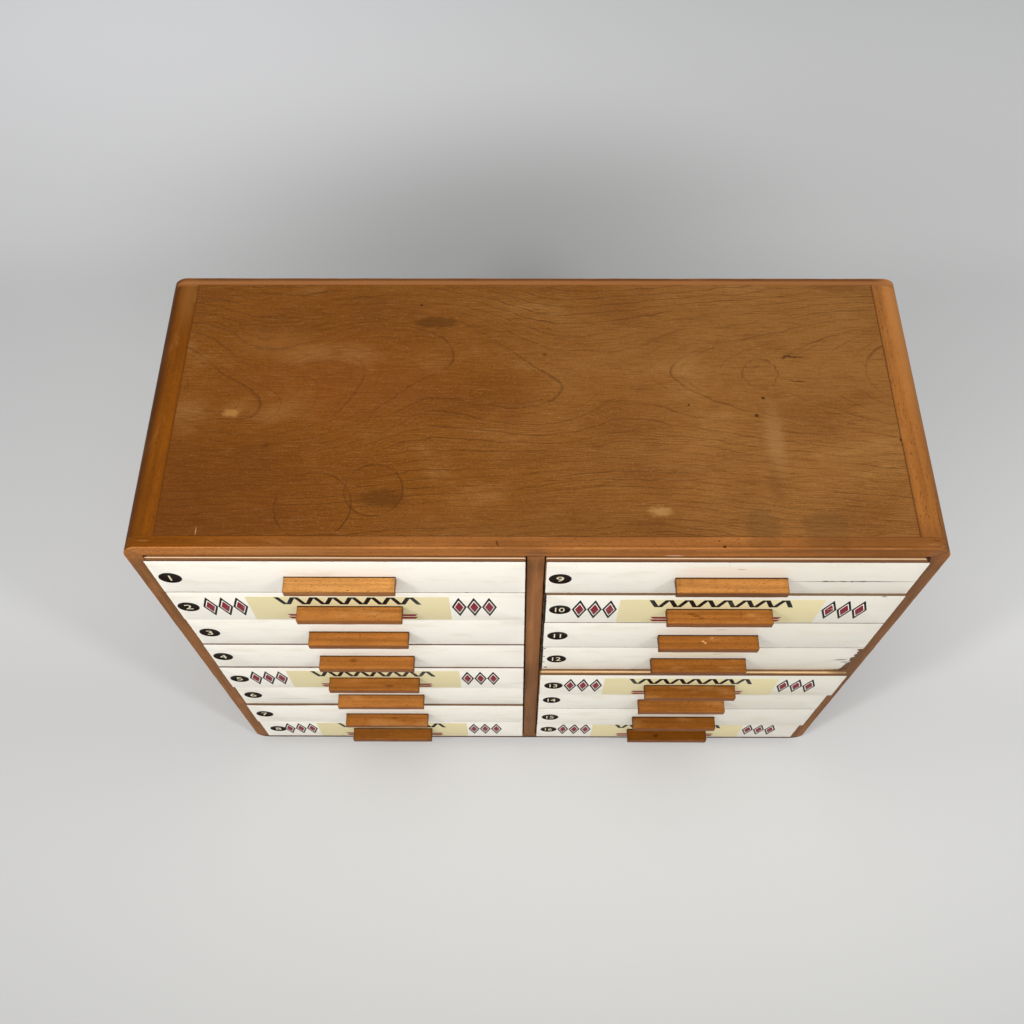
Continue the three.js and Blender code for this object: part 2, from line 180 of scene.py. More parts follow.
# On the pulls: the drawer, then the place from the pull's middle. Pale nicks on the eleventh, a dark
# scratch and a pale place on the tenth, dark spots, and last painted shade on three front faces
PULL_MARKS_AND_SHADE = tuple(
    (tuple(sum(corner[axis] for corner in PULL_BOXES[number]) / 2 / MM + shift[axis] for axis in range(3)),
     *rest)
    for number, shift, *rest in (
        (11, (-8, 1, 8), (1.8, 1.2, 6), "#dba873", 0.7, 0.5),
        (11, (-5, -1.5, 8), (1.8, 1.2, 6), "#dba873", 0.7, 0.5),
        (11, (5, 6, 8), (1.2, 0.9, 6), "#dba873", 0.6, 0.5),
        (10, (-38, 3, 8), (6, 1.2, 6), "#4a2408", 0.6, 0.6),
        (10, (-31, 0, 8), (5, 1.2, 6), "#4a2408", 0.7, 0.6),
        (10, (-25, -3, 8), (4, 1.2, 6), "#4a2408", 0.6, 0.6),
        (10, (40, 2, 8), (6, 2, 6), "#cf9550", 0.3, 0.7),
        (4, (-20, 3, 8), (5, 3, 6), "#4a2408", 0.5, 0.6),
        (5, (24, -3, 8), (6, 2, 6), "#3c1c06", 0.5, 0.6),
        (16, (-20, -2, 8), (4, 3, 6), "#2c1404", 0.6, 0.6),
        (7, (12, 2, 8), (7, 2, 6), "#4a2408", 0.4, 0.6),
        # Painted shade on the front faces of three pulls
        (9, (0, -11, -1), (90, 3.4, 8), "#5a3413", 0.85, 0.5),
        (3, (0, -11, -1), (90, 3.4, 8), "#5a3413", 0.3, 0.5),
        (1, (0, -11, -1), (90, 3.4, 8), "#6a3f18", 0.2, 0.5),
    )
)
# On the plywood: a black painted shadow in the joint beside the middle strip, a pale chip, a black
# painted shadow at the corner of the first front, the dark and pale plies on the upper edges of the first,
# ninth and thirteenth, with painted shade on the first and ninth next to the top rail, the brown behind
# the broken corner, and a black painted shadow at the corner of the ninth
PLY_MARKS_AND_SHADOWS = (
    # Black painted shadow in the joint beside the middle strip
    ((12.5, -212, 540), (3.6, 30, 160), "#0c0705", 0.97, 0.05),
    ((455, -211, 394.6), (14, 4, 3), "#ecd6b6", 0.75, 0.6),
    # Black painted shadow at the corner of the first front
    ((-476, -207, 767), (3.2, 7, 3), "#0c0705", 0.95, 0.3),
    ((0, -212.6, 767.4), (900, 1.9, 3), "#5a3519", 0.8, 0.2),
    ((0, -209.8, 767.4), (900, 0.6, 3), "#f4d6b0", 0.8, 0.5),
    # Painted shade on the first and ninth next to the top rail
    ((0, -207.9, 767.4), (900, 1.0, 3), "#5a3519", 0.75, 0.4),
    ((244, -218.2, 394.4), (330, 1.3, 3), "#5a3519", 0.6, 0.4),
    ((244, -220.6, 394.4), (330, 0.8, 3), "#f2d3a6", 0.8, 0.5),
    ((244, -223.9, 394.4), (330, 1.5, 3), "#4a2a12", 0.75, 0.3),
    ((466, -217, 440), (24, 9, 60), "#5f3d26", 0.7, 0.3),
    # Black painted shadow at the corner of the ninth
    ((476, -207, 767), (4.5, 7, 3.4), "#0c0705", 0.95, 0.3),
)

# Drawers with a printed band, the one whose right end is broken, and how much the sheets beside the
# painted shadow of the middle joint fall short, in mm
PRINTED = (2, 5, 8, 10, 13, 16)
BROKEN = 12
SHORT_SHEETS = {9: 0.4, 10: 2.4, 11: 1.7, 12: 2.3}
# How dark each pull is, from the palest, 0, to the darkest, 1
PULL_TONES = (0, 0.36, 0.49, 0.6, 0.66, 0.38, 0.68, 0.78, 0.25, 0.58, 0.7, 0.74, 0.8, 0.66, 0.84, 0.93)
# Where number discs sit, from the middle of the front's upper edge, and how far some of them sit from
# there, right and up, in mm
DISC_PLACE = (-210.7, -47.9)
DISC_SHIFTS = {1: (-1.8, -0.6), 2: (-4, 0), 3: (0, -1), 4: (-3.6, -0.8), 5: (-1, -3), 8: (4.5, -1),
               9: (-2.8, -1), 12: (1.7, 0)}
# Drawers whose upper plywood edge has stayed clean
SHOWN_EDGES = (1, 9, 13)

# Half the floor's width and how far it lies below the cabinet, in metres, and soft patches of painted
# shadow and painted light on it, as the marks of use above
FLOOR_REACH = 9.0
FLOOR_DROP = 0.2 * MM
FLOOR_LIGHT_AND_SHADE = (
    ((-190, 1070, 0), (540, 300, 900), "#8a8a88", 0.62, 0.95),
    ((700, 950, 0), (700, 420, 900), "#8a8a88", 0.22, 0.95),
    ((-1200, 1920, 0), (1150, 640, 900), "#ffffff", 0.87, 0.95),
)
# The soft lamp and the two side lamps: size and place in metres, the tilt that they share, and their turns
SOFT_LAMP_SIZE = (3.0, 1.5)
SOFT_LAMP_PLACE = (-0.6, -1.45, 2.75)
SIDE_LAMP_SIZE = (0.3, 0.3)
SIDE_LAMP_PLACE = (1.35, -1.2, 2.3)
LAMPS_TILT = math.radians(27)
SOFT_LAMP_TURN = math.radians(-12)
SIDE_LAMP_TURN = math.radians(32)

# The figure of the top's veneer, in mm. Each row is an amount, the place along the top where it is most,
# and the width that it fades over. First the tree's heart: its place across the top, and its wanderings
HEART_PLACE = -48
HEART_WANDERS = ((-38, -135, 70), (60, -350, 90), (30, 20, 60))
WANDERS_ACROSS = (35, 105)
# How deep the cut is above the heart
CUT_DEPTH = 50
CUT_DEEPER = ((35, 105, 400), (4, 107, 60))
# How far the rings are drawn together beside the heart, and over what width
DRAWN_IN = -44
DRAWN_LESS = ((20, 105, 170),)
DRAWN_WIDTH = 62
# How far two noises push the rings about, and how much each knot draws them in, its place and half sizes
SWAY = 26
RIPPLE = 8
KNOTS = ((-14, (297, 44, 790), (27, 23, 9000)), (-8, (-75, 13, 790), (15, 12, 9000)))

# Boards: a ply, the tongue at a board's end, its groove in a corner block, and the back edging's rebate
PLY = 1.7 * MM
TONGUE = 8 * MM
GROOVE = 6.4 * MM
GROOVE_DEPTH = 8.2 * MM
REBATE = 8 * MM
# Arrises of the strips and blocks, from the most worn to the tightest
WORN_ARRIS = 1.15 * MM
WORN_SWAY = 0.35 * MM
KEPT_ARRIS = 0.6 * MM
JOINT_ARRIS = 0.3 * MM
END_ARRIS = 0.25 * MM
TIGHT_ARRIS = 0.2 * MM
# How far wear fades from an arris, how far behind the worn arris grime lies, and its reach from a joint
FADE = 1.2 * MM
GRIME = 3.2 * MM
JOINT_GRIME = 1.5 * MM
# Spacing of a strip's rings, points round a block's outer corner, a mitre's swing and the ring before it
RING_SPACING = 6 * MM
ROUND_POINTS = 25
MITRE = math.radians(45)
NEAR_MITRE = math.radians(44)

# White sheets: how far they stand proud of the plywood, their arris and corners, the depth of a bite, and
# the spacing of an outline's points
PROUD = 0.15 * MM
SHEET_ARRIS = 0.45 * MM
SHEET_CORNER = 1.6 * MM
BITE = 1.6 * MM
OUTLINE_STEP = 2 * MM
# Thickness of a layer of print, its ease, and how far it reaches back
INK = 0.09 * MM
INK_EASE = 0.03 * MM
INK_BACK = 0.2 * MM
# The printed band, in mm: lower edge, upper edge and half width of its ground
BAND = (1.6, 78, 133)
# Stitches: their number, how far the last ones sit from the middle, half width, half height, lean, and how
# far below the front's upper edge they sit
STITCHES = 15
STITCHES_REACH = 88
STITCH = (3.2, 11.5, 4.5, 27)
# Rules: half width, flare, thickness and lower edges
RULE = (84, 4, 6.5, (5, 14))
# Lozenges: their places from the middle and below the upper edge, and each layer's half width, half height
# and ink
LOZENGE_PLACES = (145, 165, 185)
LOZENGES_BELOW = 47
LOZENGE_LAYERS = ((9.9, 31, 1), (6.9, 21.6, 3), (5.7, 17.9, 2))
# A disc's profile, in mm: in from its rim and out from the sheet, the flat floor last
DISC_PROFILE = ((0, -0.2), (0, 0.35), (0.1, 0.45), (0.3, 0.5), (0.9, 0.5), (1.2, 0.44), (1.4, 0.34))
# Numerals: how far one figure or two are stretched sideways, their thickness, and how deep they are sunk
ONE_FIGURE = 1.12
TWO_FIGURES = 0.86
NUMERAL_THICKNESS = 0.1 * MM
NUMERAL_SUNK = 0.03 * MM

# Pulls: how far their ends are drawn in, both ends of the cove from the drawer's front, its depth, how far
# the front arrises are rubbed, and how wide dirt and painted shade lie along the drawer's front
PULL_EASE = 1.5 * MM
COVE = (7 * MM, 18 * MM)
COVE_DEPTH = 2.4 * MM
RUBBED = 3 * MM
PULL_GRIME_AND_SHADE = 2.2 * MM
# A pull's screws: their place from its middle and a head's diameter. Shares of that are the head's profile,
# from the rim to the middle and out from the wood, and the slot's half width, half length and depth
SCREW_PLACE = 45 * MM
SCREW_HEAD = 7.5 * MM
HEAD_PROFILE_SHARES = (
    (0.5, 0), (0.5, 0.07), (0.465, 0.154), (0.39, 0.224), (0.275, 0.266), (0.15, 0.28), (0.06, 0.28),
)
SLOT_SHARES = (0.07, 0.47, 0.12)


def linear(colour):
    """Turns an sRGB hex value, such as "#8a5a30", into the linear red, green and blue that Blender uses."""
    share = np.array([int(colour[place:place + 2], 16) for place in (1, 3, 5)]) / 255
    return tuple(np.where(share <= 0.04045, share / 12.92, ((share + 0.055) / 1.055) ** 2.4))


def colour_property(name, description, value):
    """A colour that a user would change."""
    return bpy.props.FloatVectorProperty(
        name=name, description=description, default=linear(value), subtype="COLOR", size=3, min=0, max=1
    )


def length_property(name, description, value):
    """A length that a user would change."""
    return bpy.props.FloatProperty(
        name=name, description=description, default=value, min=0, subtype="DISTANCE", unit="LENGTH"
    )


class CabinetWoods(bpy.types.PropertyGroup):
    """Colours of the cabinet's woods."""

    veneer_amber: colour_property("Veneer, amber", "Top veneer where the varnish is warm", "#74420c")
    veneer_grey: colour_property("Veneer, grey", "Top veneer where the varnish is worn", "#875827")
    growth_line: colour_property("Growth line", "Dark growth lines of the veneer", "#432207")
    edging: colour_property("Edging", "Solid strips and corner blocks", "#a06430")
    # Painted shade that the edging's faces turn to where they look forward
    edging_front: colour_property("Edging, front", "What the edging's front faces turn to", "#6b3810")
    # Painted shade: lower down, the edging greys to this colour
    lip: colour_property("Upright lips", "Upright strips of the front, greyed by hands", "#966438")
    pull: colour_property("Pull", "The most bleached of the bar pulls", "#c48a4a")
    # Painted shade that the pulls' faces turn to where they look forward
    pull_front: colour_property("Pull, front", "What the front faces of the pulls turn to", "#804517")
    pull_middle: colour_property("Pull, middle tone", "Bar pulls of the middle tone", "#a3662c")
    pull_low: colour_property("Pull, darkest", "The darkest of the bar pulls", "#72400c")
    bare: colour_property("Drawer wood", "Unfinished drawer boxes", "#cfae7c")
    ply_pale: colour_property("Plywood, pale plies", "Plies that lie along the front", "#d3ab78")
    ply_dark: colour_property("Plywood, dark plies", "Plies that show their end grain", "#96683d")


class CabinetFronts(bpy.types.PropertyGroup):
    """Colours and sizes of the white fronts, their numbers and their printed bands."""

    white: colour_property("Laminate", "White sheet on the drawer fronts", "#faf4e7")
    core: colour_property("Laminate core", "Brown core that shows on the sheet's edge", "#5a381d")
    yellow: colour_property("Print, yellow", "Ground of the printed band", "#e6d8a8")
    black: colour_property("Print, black", "Stitches and lozenge borders", "#0e0c10")
    red: colour_property("Print, red", "Rules and lozenges", "#84182a")
    disc: colour_property("Number disc", "Dark disc under a drawer's number", "#170e09")
    numeral: colour_property("Numeral", "Drawer numbers", "#f2e6c8")
    disc_diameter: length_property("Disc diameter", "Across a number disc", 28.5 * MM)
    numeral_height: length_property("Numeral height", "Height of a drawer's number", 14 * MM)
    sheet: length_property("Laminate thickness", "Thickness of the white sheet", 0.85 * MM)


class CabinetStage(bpy.types.PropertyGroup):
    """Floor, light and camera."""

    floor: colour_property("Floor", "Plain floor", "#d0d0cf")
    lamp_power: bpy.props.FloatProperty(
        name="Lamp power", description="Power of the soft lamp, in watts", default=39, min=0
    )
    side_lamp_power: bpy.props.FloatProperty(
        name="Side lamp power", description="Power of each small lamp that draws shadows, in watts",
        default=19, min=0,
    )
    sky: bpy.props.FloatProperty(
        name="Sky strength", description="Strength of the even light all round", default=0.49, min=0
    )
    lens: bpy.props.FloatProperty(
        name="Focal length", description="Of the camera, in millimetres", default=37.3, min=1
    )
    tilt: bpy.props.FloatProperty(
        name="Tilt", description="How far the camera looks up from straight down",
        default=math.radians(28.2), subtype="ANGLE", unit="ROTATION",
    )
    turn: bpy.props.FloatProperty(
        name="Turn", description="How far the camera is turned about the upright",
        default=math.radians(0.604), subtype="ANGLE", unit="ROTATION",
    )
    roll: bpy.props.FloatProperty(
        name="Roll", description="How far the camera is rolled about its line of sight",
        default=math.radians(-0.424), subtype="ANGLE", unit="ROTATION",
    )
    place: bpy.props.FloatVectorProperty(
        name="Camera place", description="Where the photograph was taken from",
        default=(-22.8 * MM, -767.6 * MM, 1926.5 * MM), subtype="TRANSLATION", unit="LENGTH",
    )


# Shapes


def rounded_loop(corners, radii, steps):
    """A closed polygon whose corners are turned into arcs.

    Each side is cut short by radius times the tangent of half the turn. From there the arc swings about
    its centre by the whole turn, in equal steps. A corner with one step stays sharp. The corners may
    carry a leading axis, one polygon for each station along a path, and the radii likewise.
    """
    before = corners - np.roll(corners, 1, axis=-2)
    after = np.roll(corners, -1, axis=-2) - corners
    before = before / np.linalg.norm(before, axis=-1, keepdims=True)
    after = after / np.linalg.norm(after, axis=-1, keepdims=True)
    cross = before[..., 0] * after[..., 1] - before[..., 1] * after[..., 0]
    turn = np.arctan2(cross, (before * after).sum(-1))
    radii = np.broadcast_to(radii, turn.shape)
    start = corners - before * (radii * np.abs(np.tan(turn / 2)))[..., None]
    left = np.stack((-before[..., 1], before[..., 0]), axis=-1)
    spoke = left * (np.sign(turn) * radii)[..., None]
    which = np.repeat(np.arange(len(steps)), steps)
    share = np.concatenate([np.linspace(0, 1, count) for count in steps])
    angle = turn[..., which] * share
    cosine, sine = np.cos(angle), np.sin(angle)
    arm = -spoke[..., which, :]
    swung = np.stack(
        (arm[..., 0] * cosine - arm[..., 1] * sine, arm[..., 0] * sine + arm[..., 1] * cosine), axis=-1
    )
    return (start + spoke)[..., which, :] + swung


def outward(loop):
    """Unit normals of a closed loop that runs counter-clockwise: the tangent between a point's two
    neighbours, turned clockwise by a quarter turn."""
    tangent = np.roll(loop, -1, axis=-2) - np.roll(loop, 1, axis=-2)
    normal = np.stack((tangent[..., 1], -tangent[..., 0]), axis=-1)
    return normal / np.linalg.norm(normal, axis=-1, keepdims=True)


def ellipse(width, height, steps):
    """A closed ellipse: half the width times the cosine, half the height times the sine."""
    angle = np.linspace(0, math.tau, steps, endpoint=False)
    return np.stack((width / 2 * np.cos(angle), height / 2 * np.sin(angle)), axis=-1)


def wander(place, seed, longest):
    """A smooth curve that wanders between about -1 and 1: a sum of sine waves of random phase, each 1.7
    times shorter and 1.3 times weaker than the one before, the first as long as longest."""
    phase = np.random.default_rng(seed).uniform(0, math.tau, WAVES)
    step = np.arange(WAVES)
    length = longest / 1.7 ** step
    weight = 1 / 1.3 ** step
    swing = np.sin(math.tau * place[..., None] / length + phase + step)
    return (swing * weight).sum(-1) / weight.sum() * 1.8


def upright(loop, centre, low):
    """A loop of (right, up) points as a ring that faces forward, about a centre and at a depth."""
    depth = np.full(loop.shape[:-1], low)
    return np.stack((centre[0] + loop[..., 0], depth, centre[1] + loop[..., 1]), axis=-1)


def plate(loop, centre, back, front, ease, finishes):
    """An upright plate: the loop carried forward from back to front, and drawn in by the ease along a
    quarter circle at its front."""
    normal = outward(loop)
    quarter = np.linspace(0, math.pi / 2, 4)
    inset = np.concatenate(([0], ease * (1 - np.cos(quarter))))
    depth = np.concatenate(([back], front + ease * (1 - np.sin(quarter))))
    rings = [upright(loop - normal * cut, centre, low) for cut, low in zip(inset, depth)]
    return closed(np.array(rings), finishes=finishes)


def closed(rings, wear_and_shading=0.0, finishes=0):
    """One closed body: its rings of points, how worn each point is, with painted shade and highlight, and
    which finish each part has, from the face over the first ring, along the bands between rings, to the
    face over the last ring."""
    worn = np.broadcast_to(wear_and_shading, rings.shape[:2])
    return rings, worn, np.broadcast_to(finishes, len(rings) + 1)


def placed(name, data):
    """An object of a mesh, a text, a lamp or a camera, put into the scene."""
    made = bpy.data.objects.new(name, data)
    bpy.context.scene.collection.objects.link(made)
    return made


def piece(name, bodies, finishes, rides_on, grain=ALONG_X, tone=0.0):
    """Makes closed bodies one mesh that rides on a CAD body: a quad between each four neighbours, and a
    flat face over each end ring. Each point keeps how worn it is, with painted shade and highlight, its
    place with the grain first, and how dark its piece is."""
    points, worn, faces, places, start = [], [], [], [], 0
    for rings, wear_and_shading, parts in bodies:
        count, around = rings.shape[:2]
        ring = start + np.arange(count * around).reshape(count, around)
        after = np.roll(ring, -1, axis=1)
        quads = np.stack((ring[:-1], after[:-1], after[1:], ring[1:]), axis=-1).reshape(-1, 4)
        faces += [ring[0][::-1].tolist(), *quads.tolist(), ring[-1].tolist()]
        places.append(np.repeat(parts, [1, *[around] * (count - 1), 1]))
        points.append(rings.reshape(-1, 3))
        worn.append(wear_and_shading.reshape(-1))
        start += count * around
    points = np.concatenate(points)
    mesh = bpy.data.meshes.new(name)
    mesh.from_pydata(points.tolist(), [], faces)
    mesh.polygons.foreach_set("material_index", np.concatenate(places).astype(np.int32))
    mesh.attributes.new("wear_and_shading", "FLOAT", "POINT").data.foreach_set("value", np.concatenate(worn))
    seed = sum(map(ord, name))
    shift = np.random.default_rng(seed).uniform(-2, 2, 3)
    turned = np.roll(points, -grain, axis=1) + shift
    mesh.attributes.new("grain", "FLOAT_VECTOR", "POINT").data.foreach_set("vector", turned.ravel())
    mesh.attributes.new("tone", "FLOAT", "POINT").data.foreach_set("value", np.full(len(points), tone))
    for finish in finishes:
        mesh.materials.append(finish)
    tidy(mesh, SHARP)
    made = placed(name, mesh)
    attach(made, rides_on)
    return made


def tidy(mesh, sharp):
    """Merges doubles, turns the faces outwards and smooths what is rounder than the sharp angle."""
    work = bmesh.new()
    work.from_mesh(mesh)
    bmesh.ops.remove_doubles(work, verts=work.verts, dist=DOUBLES)
    bmesh.ops.recalc_face_normals(work, faces=work.faces)
    work.to_mesh(mesh)
    work.free()
    sides = np.zeros(len(mesh.polygons), np.int32)
    mesh.polygons.foreach_get("loop_total", sides)
    mesh.polygons.foreach_set("use_smooth", sides <= 4)
    mesh.set_sharp_from_angle(angle=sharp)


# Finishes


def add_node(tree, kind, inputs=(), output=0, **settings):
    """Adds a node, makes its settings, links or sets its inputs, which come in their order or by socket,
    and gives back one of its outputs."""
    made = tree.nodes.new("ShaderNode" + kind)
    for key, value in settings.items():
        setattr(made, key, value)
    by_socket = inputs if isinstance(inputs, dict) else dict(enumerate(inputs))
    for key, value in by_socket.items():
        if isinstance(value, bpy.types.NodeSocket):
            tree.links.new(value, made.inputs[key])
        else:
            made.inputs[key].default_value = value
    return made.outputs[output]


def new_finish(name, roughness, **sockets):
    """A material with one Principled shader. Gives back the material, what adds a node to it, and the
    place of a point in Object coordinates."""
    finish = bpy.data.materials.new(name)
    finish.use_nodes = True
    tree = finish.node_tree
    tree.nodes.clear()
    shader = tree.nodes.new("ShaderNodeBsdfPrincipled")
    shader.name = "shader"
    for key, value in {"Roughness": roughness, **sockets}.items():
        shader.inputs[key.replace("_", " ")].default_value = value
    result = tree.nodes.new("ShaderNodeOutputMaterial")
    tree.links.new(shader.outputs["BSDF"], result.inputs["Surface"])
    add = functools.partial(add_node, tree)
    return finish, add, add("TexCoord", output=3)


def finish_with(finish, colour, height=None, depth=0.1 * MM, roughness=None):
    """Links a colour, a bump height of the given depth and a roughness to a finish's shader."""
    tree = finish.node_tree
    shader = tree.nodes["shader"]
    tree.links.new(colour, shader.inputs["Base Color"])
    if roughness is not None:
        tree.links.new(roughness, shader.inputs["Roughness"])
    if height is not None:
        bump = add_node(tree, "Bump", {"Strength": 0.6, "Distance": depth, "Height": height})
        tree.links.new(bump, shader.inputs["Normal"])
    return finish


def opaque(colour):
    """A colour as a node takes it: a hex value or a property with its alpha, and a socket as it is."""
    if isinstance(colour, bpy.types.NodeSocket):
        return colour
    return (*(linear(colour) if isinstance(colour, str) else colour), 1.0)


def metres(lengths):
    """Lengths in millimetres turned to metres."""
    return [length * MM for length in lengths]


def stretched_noise(add, place, lengths, detail, seed):
    """Noise whose grains are as long as the lengths, in millimetres, along each axis of the place."""
    scaled = add("VectorMath", (place, [1 / length for length in metres(lengths)]), operation="MULTIPLY")
    moved = add("VectorMath", (scaled, (seed, seed, seed)), operation="ADD")
    return add("TexNoise", {"Vector": moved, "Scale": 1.0, "Detail": detail})


def pushed_about(add, place, fineness, *reaches):
    """A place pushed about by noise that has so many grains a metre along each axis, once for each reach:
    a reach times the noise's three values, each less a half, is added to the place."""
    finer = add("VectorMath", (place, fineness), operation="MULTIPLY")
    noise = add("TexNoise", {"Vector": finer, "Scale": 1.0, "Detail": 2.0}, output=1)
    push = add("VectorMath", (noise, (0.5, 0.5, 0.5)), operation="SUBTRACT")
    return [add("VectorMath", (push, metres(reach), place), operation="MULTIPLY_ADD") for reach in reaches]


def between(add, value, low, high, to_low=0.0, to_high=1.0):
    """A value turned from one span to another, smoothly and without leaving it."""
    ends = {"Value": value, "From Min": low, "From Max": high, "To Min": to_low, "To Max": to_high}
    return add("MapRange", ends, interpolation_type="SMOOTHSTEP")


def layered(add, colour, *layers):
    """A colour with thin layers of others on it. Each layer is a colour and its share, or a colour and a
    value with the two ends that the share runs between and, where it isn't 0 to 1, the share at each."""
    for tint, *share in layers:
        part = between(add, *share) if len(share) > 1 else share[0]
        colour = add("Mix", {0: part, 6: opaque(colour), 7: opaque(tint)}, output=2, data_type="RGBA",
                     clamp_factor=True)
    return colour


def patch(add, place, centre, radii, softness):
    """1 inside an ellipse and 0 outside it, with a soft rim: from the distance to the centre in radii."""
    offset = add("VectorMath", (place, metres(centre)), operation="SUBTRACT")
    scaled = add("VectorMath", (offset, metres(radii)), operation="DIVIDE")
    away = add("VectorMath", (scaled,), output=1, operation="LENGTH")
    return between(add, away, 1 + softness, 1 - softness)


def ring_stain(add, place, centre, radius, width):
    """1 on a circle and 0 away from it: from how far the distance to the centre is from the radius."""
    offset = add("VectorMath", (place, metres(centre)), operation="SUBTRACT")
    flat = add("VectorMath", (offset, (1, 1, 0)), operation="MULTIPLY")
    away = add("VectorMath", (flat,), output=1, operation="LENGTH")
    apart = add("Math", (away, radius * MM), operation="SUBTRACT")
    return between(add, add("Math", (apart,), operation="ABSOLUTE"), width * MM, 0.0)


def marked(add, colour, place, marks):
    """A colour with a row of marks on it."""
    for centre, radii, tint, share, softness in marks:
        inside = patch(add, place, centre, radii, softness)
        colour = layered(add, colour, (tint, add("Math", (inside, share), operation="MULTIPLY")))
    return colour


def solid_wood(name, pale, ahead, worn, roughness, spans, marks, streak=9, fibre=1.1, seed=0.0,
               front_shade=0.15):
    """A varnished solid wood on the grain attribute: broad streaks, fine fibres, clouds and short flecks.
    Along each span, given by its axis, or the piece's tone, and its two ends, the pale colour turns to
    another. Faces that look forward turn a little to the colour ahead, which is painted shade. Arrises are
    rubbed to the worn colour, most of all near the top, which is partly a painted highlight, and dirt and
    painted shade lie where the attribute of worn places and painted shading is below 0."""
    finish, add, place = new_finish(name, roughness, Specular_IOR_Level=0.04)
    grain = add("Attribute", output=1, attribute_name="grain")
    wear_and_shading = add("Attribute", output=2, attribute_name="wear_and_shading")
    streaks = stretched_noise(add, grain, (260, streak, streak), 3, seed)
    fibres = stretched_noise(add, grain, (34, fibre, fibre), 3, seed + 3)
    flecks = stretched_noise(add, grain, (5, 0.9, 0.9), 1, seed + 5)
    clouds = stretched_noise(add, grain, (70, 24, 24), 2, seed + 7)
    axes = {axis: add("SeparateXYZ", (place,), output=axis) for axis in (ALONG_X, ALONG_Y, ALONG_Z)}
    axes["tone"] = add("Attribute", output=2, attribute_name="tone")
    facing = add("SeparateXYZ", (add("TexCoord", output=1),), output=ALONG_Y)
    colour = layered(
        add, pale,
        *((tint, axes[axis], start, end) for axis, start, end, tint in spans),
        # Painted shade on faces that look forward
        (ahead, facing, -0.3, -0.9, 0, front_shade),
    )
    shade = layered(add, colour, ("#2e1604", 0.33))
    colour = layered(
        add, colour,
        (shade, streaks, 0.4, 0.7),
        (shade, fibres, 0.5, 0.78, 0, 0.7),
        (shade, clouds, 0.52, 0.7, 0, 0.55),
        (worn, clouds, 0.45, 0.28, 0, 0.22),
        ("#4a2610", flecks, 0.58, 0.72, 0, 0.6),
    )
    colour = marked(add, colour, place, marks)
    # The worn colour, partly a painted highlight, strongest near the top
    bare = wear_and_shading
    for value, *ends in ((clouds, 0.38, 0.62, 0.1, 0.95), (axes[ALONG_Z], 0.7, 0.775, 0.25, 1)):
        bare = add("Math", (bare, between(add, value, *ends)), operation="MULTIPLY")
    # Dirt and painted shade where the attribute of worn places and painted shading is below 0
    grime_and_shade = add("Math", (wear_and_shading, -1.0), operation="MULTIPLY", use_clamp=True)
    colour = layered(add, colour, (worn, bare), ("#241207", grime_and_shade))
    rough = between(add, fibres, 0.3, 0.7, roughness - 0.06, roughness + 0.1)
    return finish_with(finish, colour, fibres, 0.12 * MM, rough)


def bell(add, value, centre, width):
    """1 at a centre and falling to 0 on both sides: e to the minus square of the distance in widths."""
    away = add("Math", (value, centre * MM), operation="SUBTRACT")
    away = add("Math", (away, width * MM), operation="DIVIDE")
    square = add("Math", (away, away), operation="MULTIPLY")
    below = add("Math", (square, -1.0), operation="MULTIPLY")
    return add("Math", (below,), operation="EXPONENT")


def weighted(add, start, *parts):
    """A start, in mm, and the sum of values times their weights in mm."""
    found = start * MM
    for weight, value in parts:
        found = add("Math", (value, weight * MM, found), operation="MULTIPLY_ADD")
    return found


def hills(add, value, rows):
    """A weight and a bell along a value for each row of an amount, a centre and a width in mm."""
    return [(amount, bell(add, value, centre, width)) for amount, centre, width in rows]


def growth_rings(add, place, ring_width):
    """Growth rings that a flat cut shows: a saw wave from 0 to 1 over each ring, and how steeply the cut
    goes through them.

    Each ring is counted by the distance to the tree's heart, the root of depth squared plus offset
    squared. The cut is deepest right of the middle, so the rings run into tongues that point there from
    both sides. The offset is drawn together near the heart, which makes the tongues broad, and the heart
    wanders to and fro. Two knots draw the rings in, and two noises push all of it about.
    """
    along, across = (add("SeparateXYZ", (place,), output=axis) for axis in (ALONG_X, ALONG_Y))
    sway = stretched_noise(add, place, (150, 85, 900), 1, 1.3)
    ripple = stretched_noise(add, place, (30, 14, 900), 1, 4.1)
    wander_off = weighted(add, 0, *hills(add, along, HEART_WANDERS))
    wander_off = add("Math", (wander_off, bell(add, across, *WANDERS_ACROSS)), operation="MULTIPLY")
    noise = weighted(add, HEART_PLACE - SWAY / 2 - RIPPLE / 2, (SWAY, sway), (RIPPLE, ripple))
    offset = add("Math", (across, wander_off), operation="ADD")
    offset = add("Math", (offset, noise), operation="ADD")
    near = add("Math", (offset, DRAWN_WIDTH * MM), operation="DIVIDE")
    near = add("Math", (near,), operation="TANH")
    drawn = weighted(add, DRAWN_IN, *hills(add, along, DRAWN_LESS))
    offset = add("Math", (near, drawn, offset), operation="MULTIPLY_ADD")
    knots = [(amount, patch(add, place, centre, radii, 0.7)) for amount, centre, radii in KNOTS]
    depth = weighted(add, CUT_DEPTH, *hills(add, along, CUT_DEEPER), *knots)
    squares = [add("Math", (part, part), operation="MULTIPLY") for part in (depth, offset)]
    distance = add("Math", (add("Math", squares, operation="ADD"),), operation="SQRT")
    rings = add("Math", (distance, ring_width * MM), operation="DIVIDE")
    steep = add("Math", (offset, distance), operation="DIVIDE")
    steep = add("Math", (steep,), operation="ABSOLUTE")
    return add("Math", (rings,), operation="FRACT"), steep


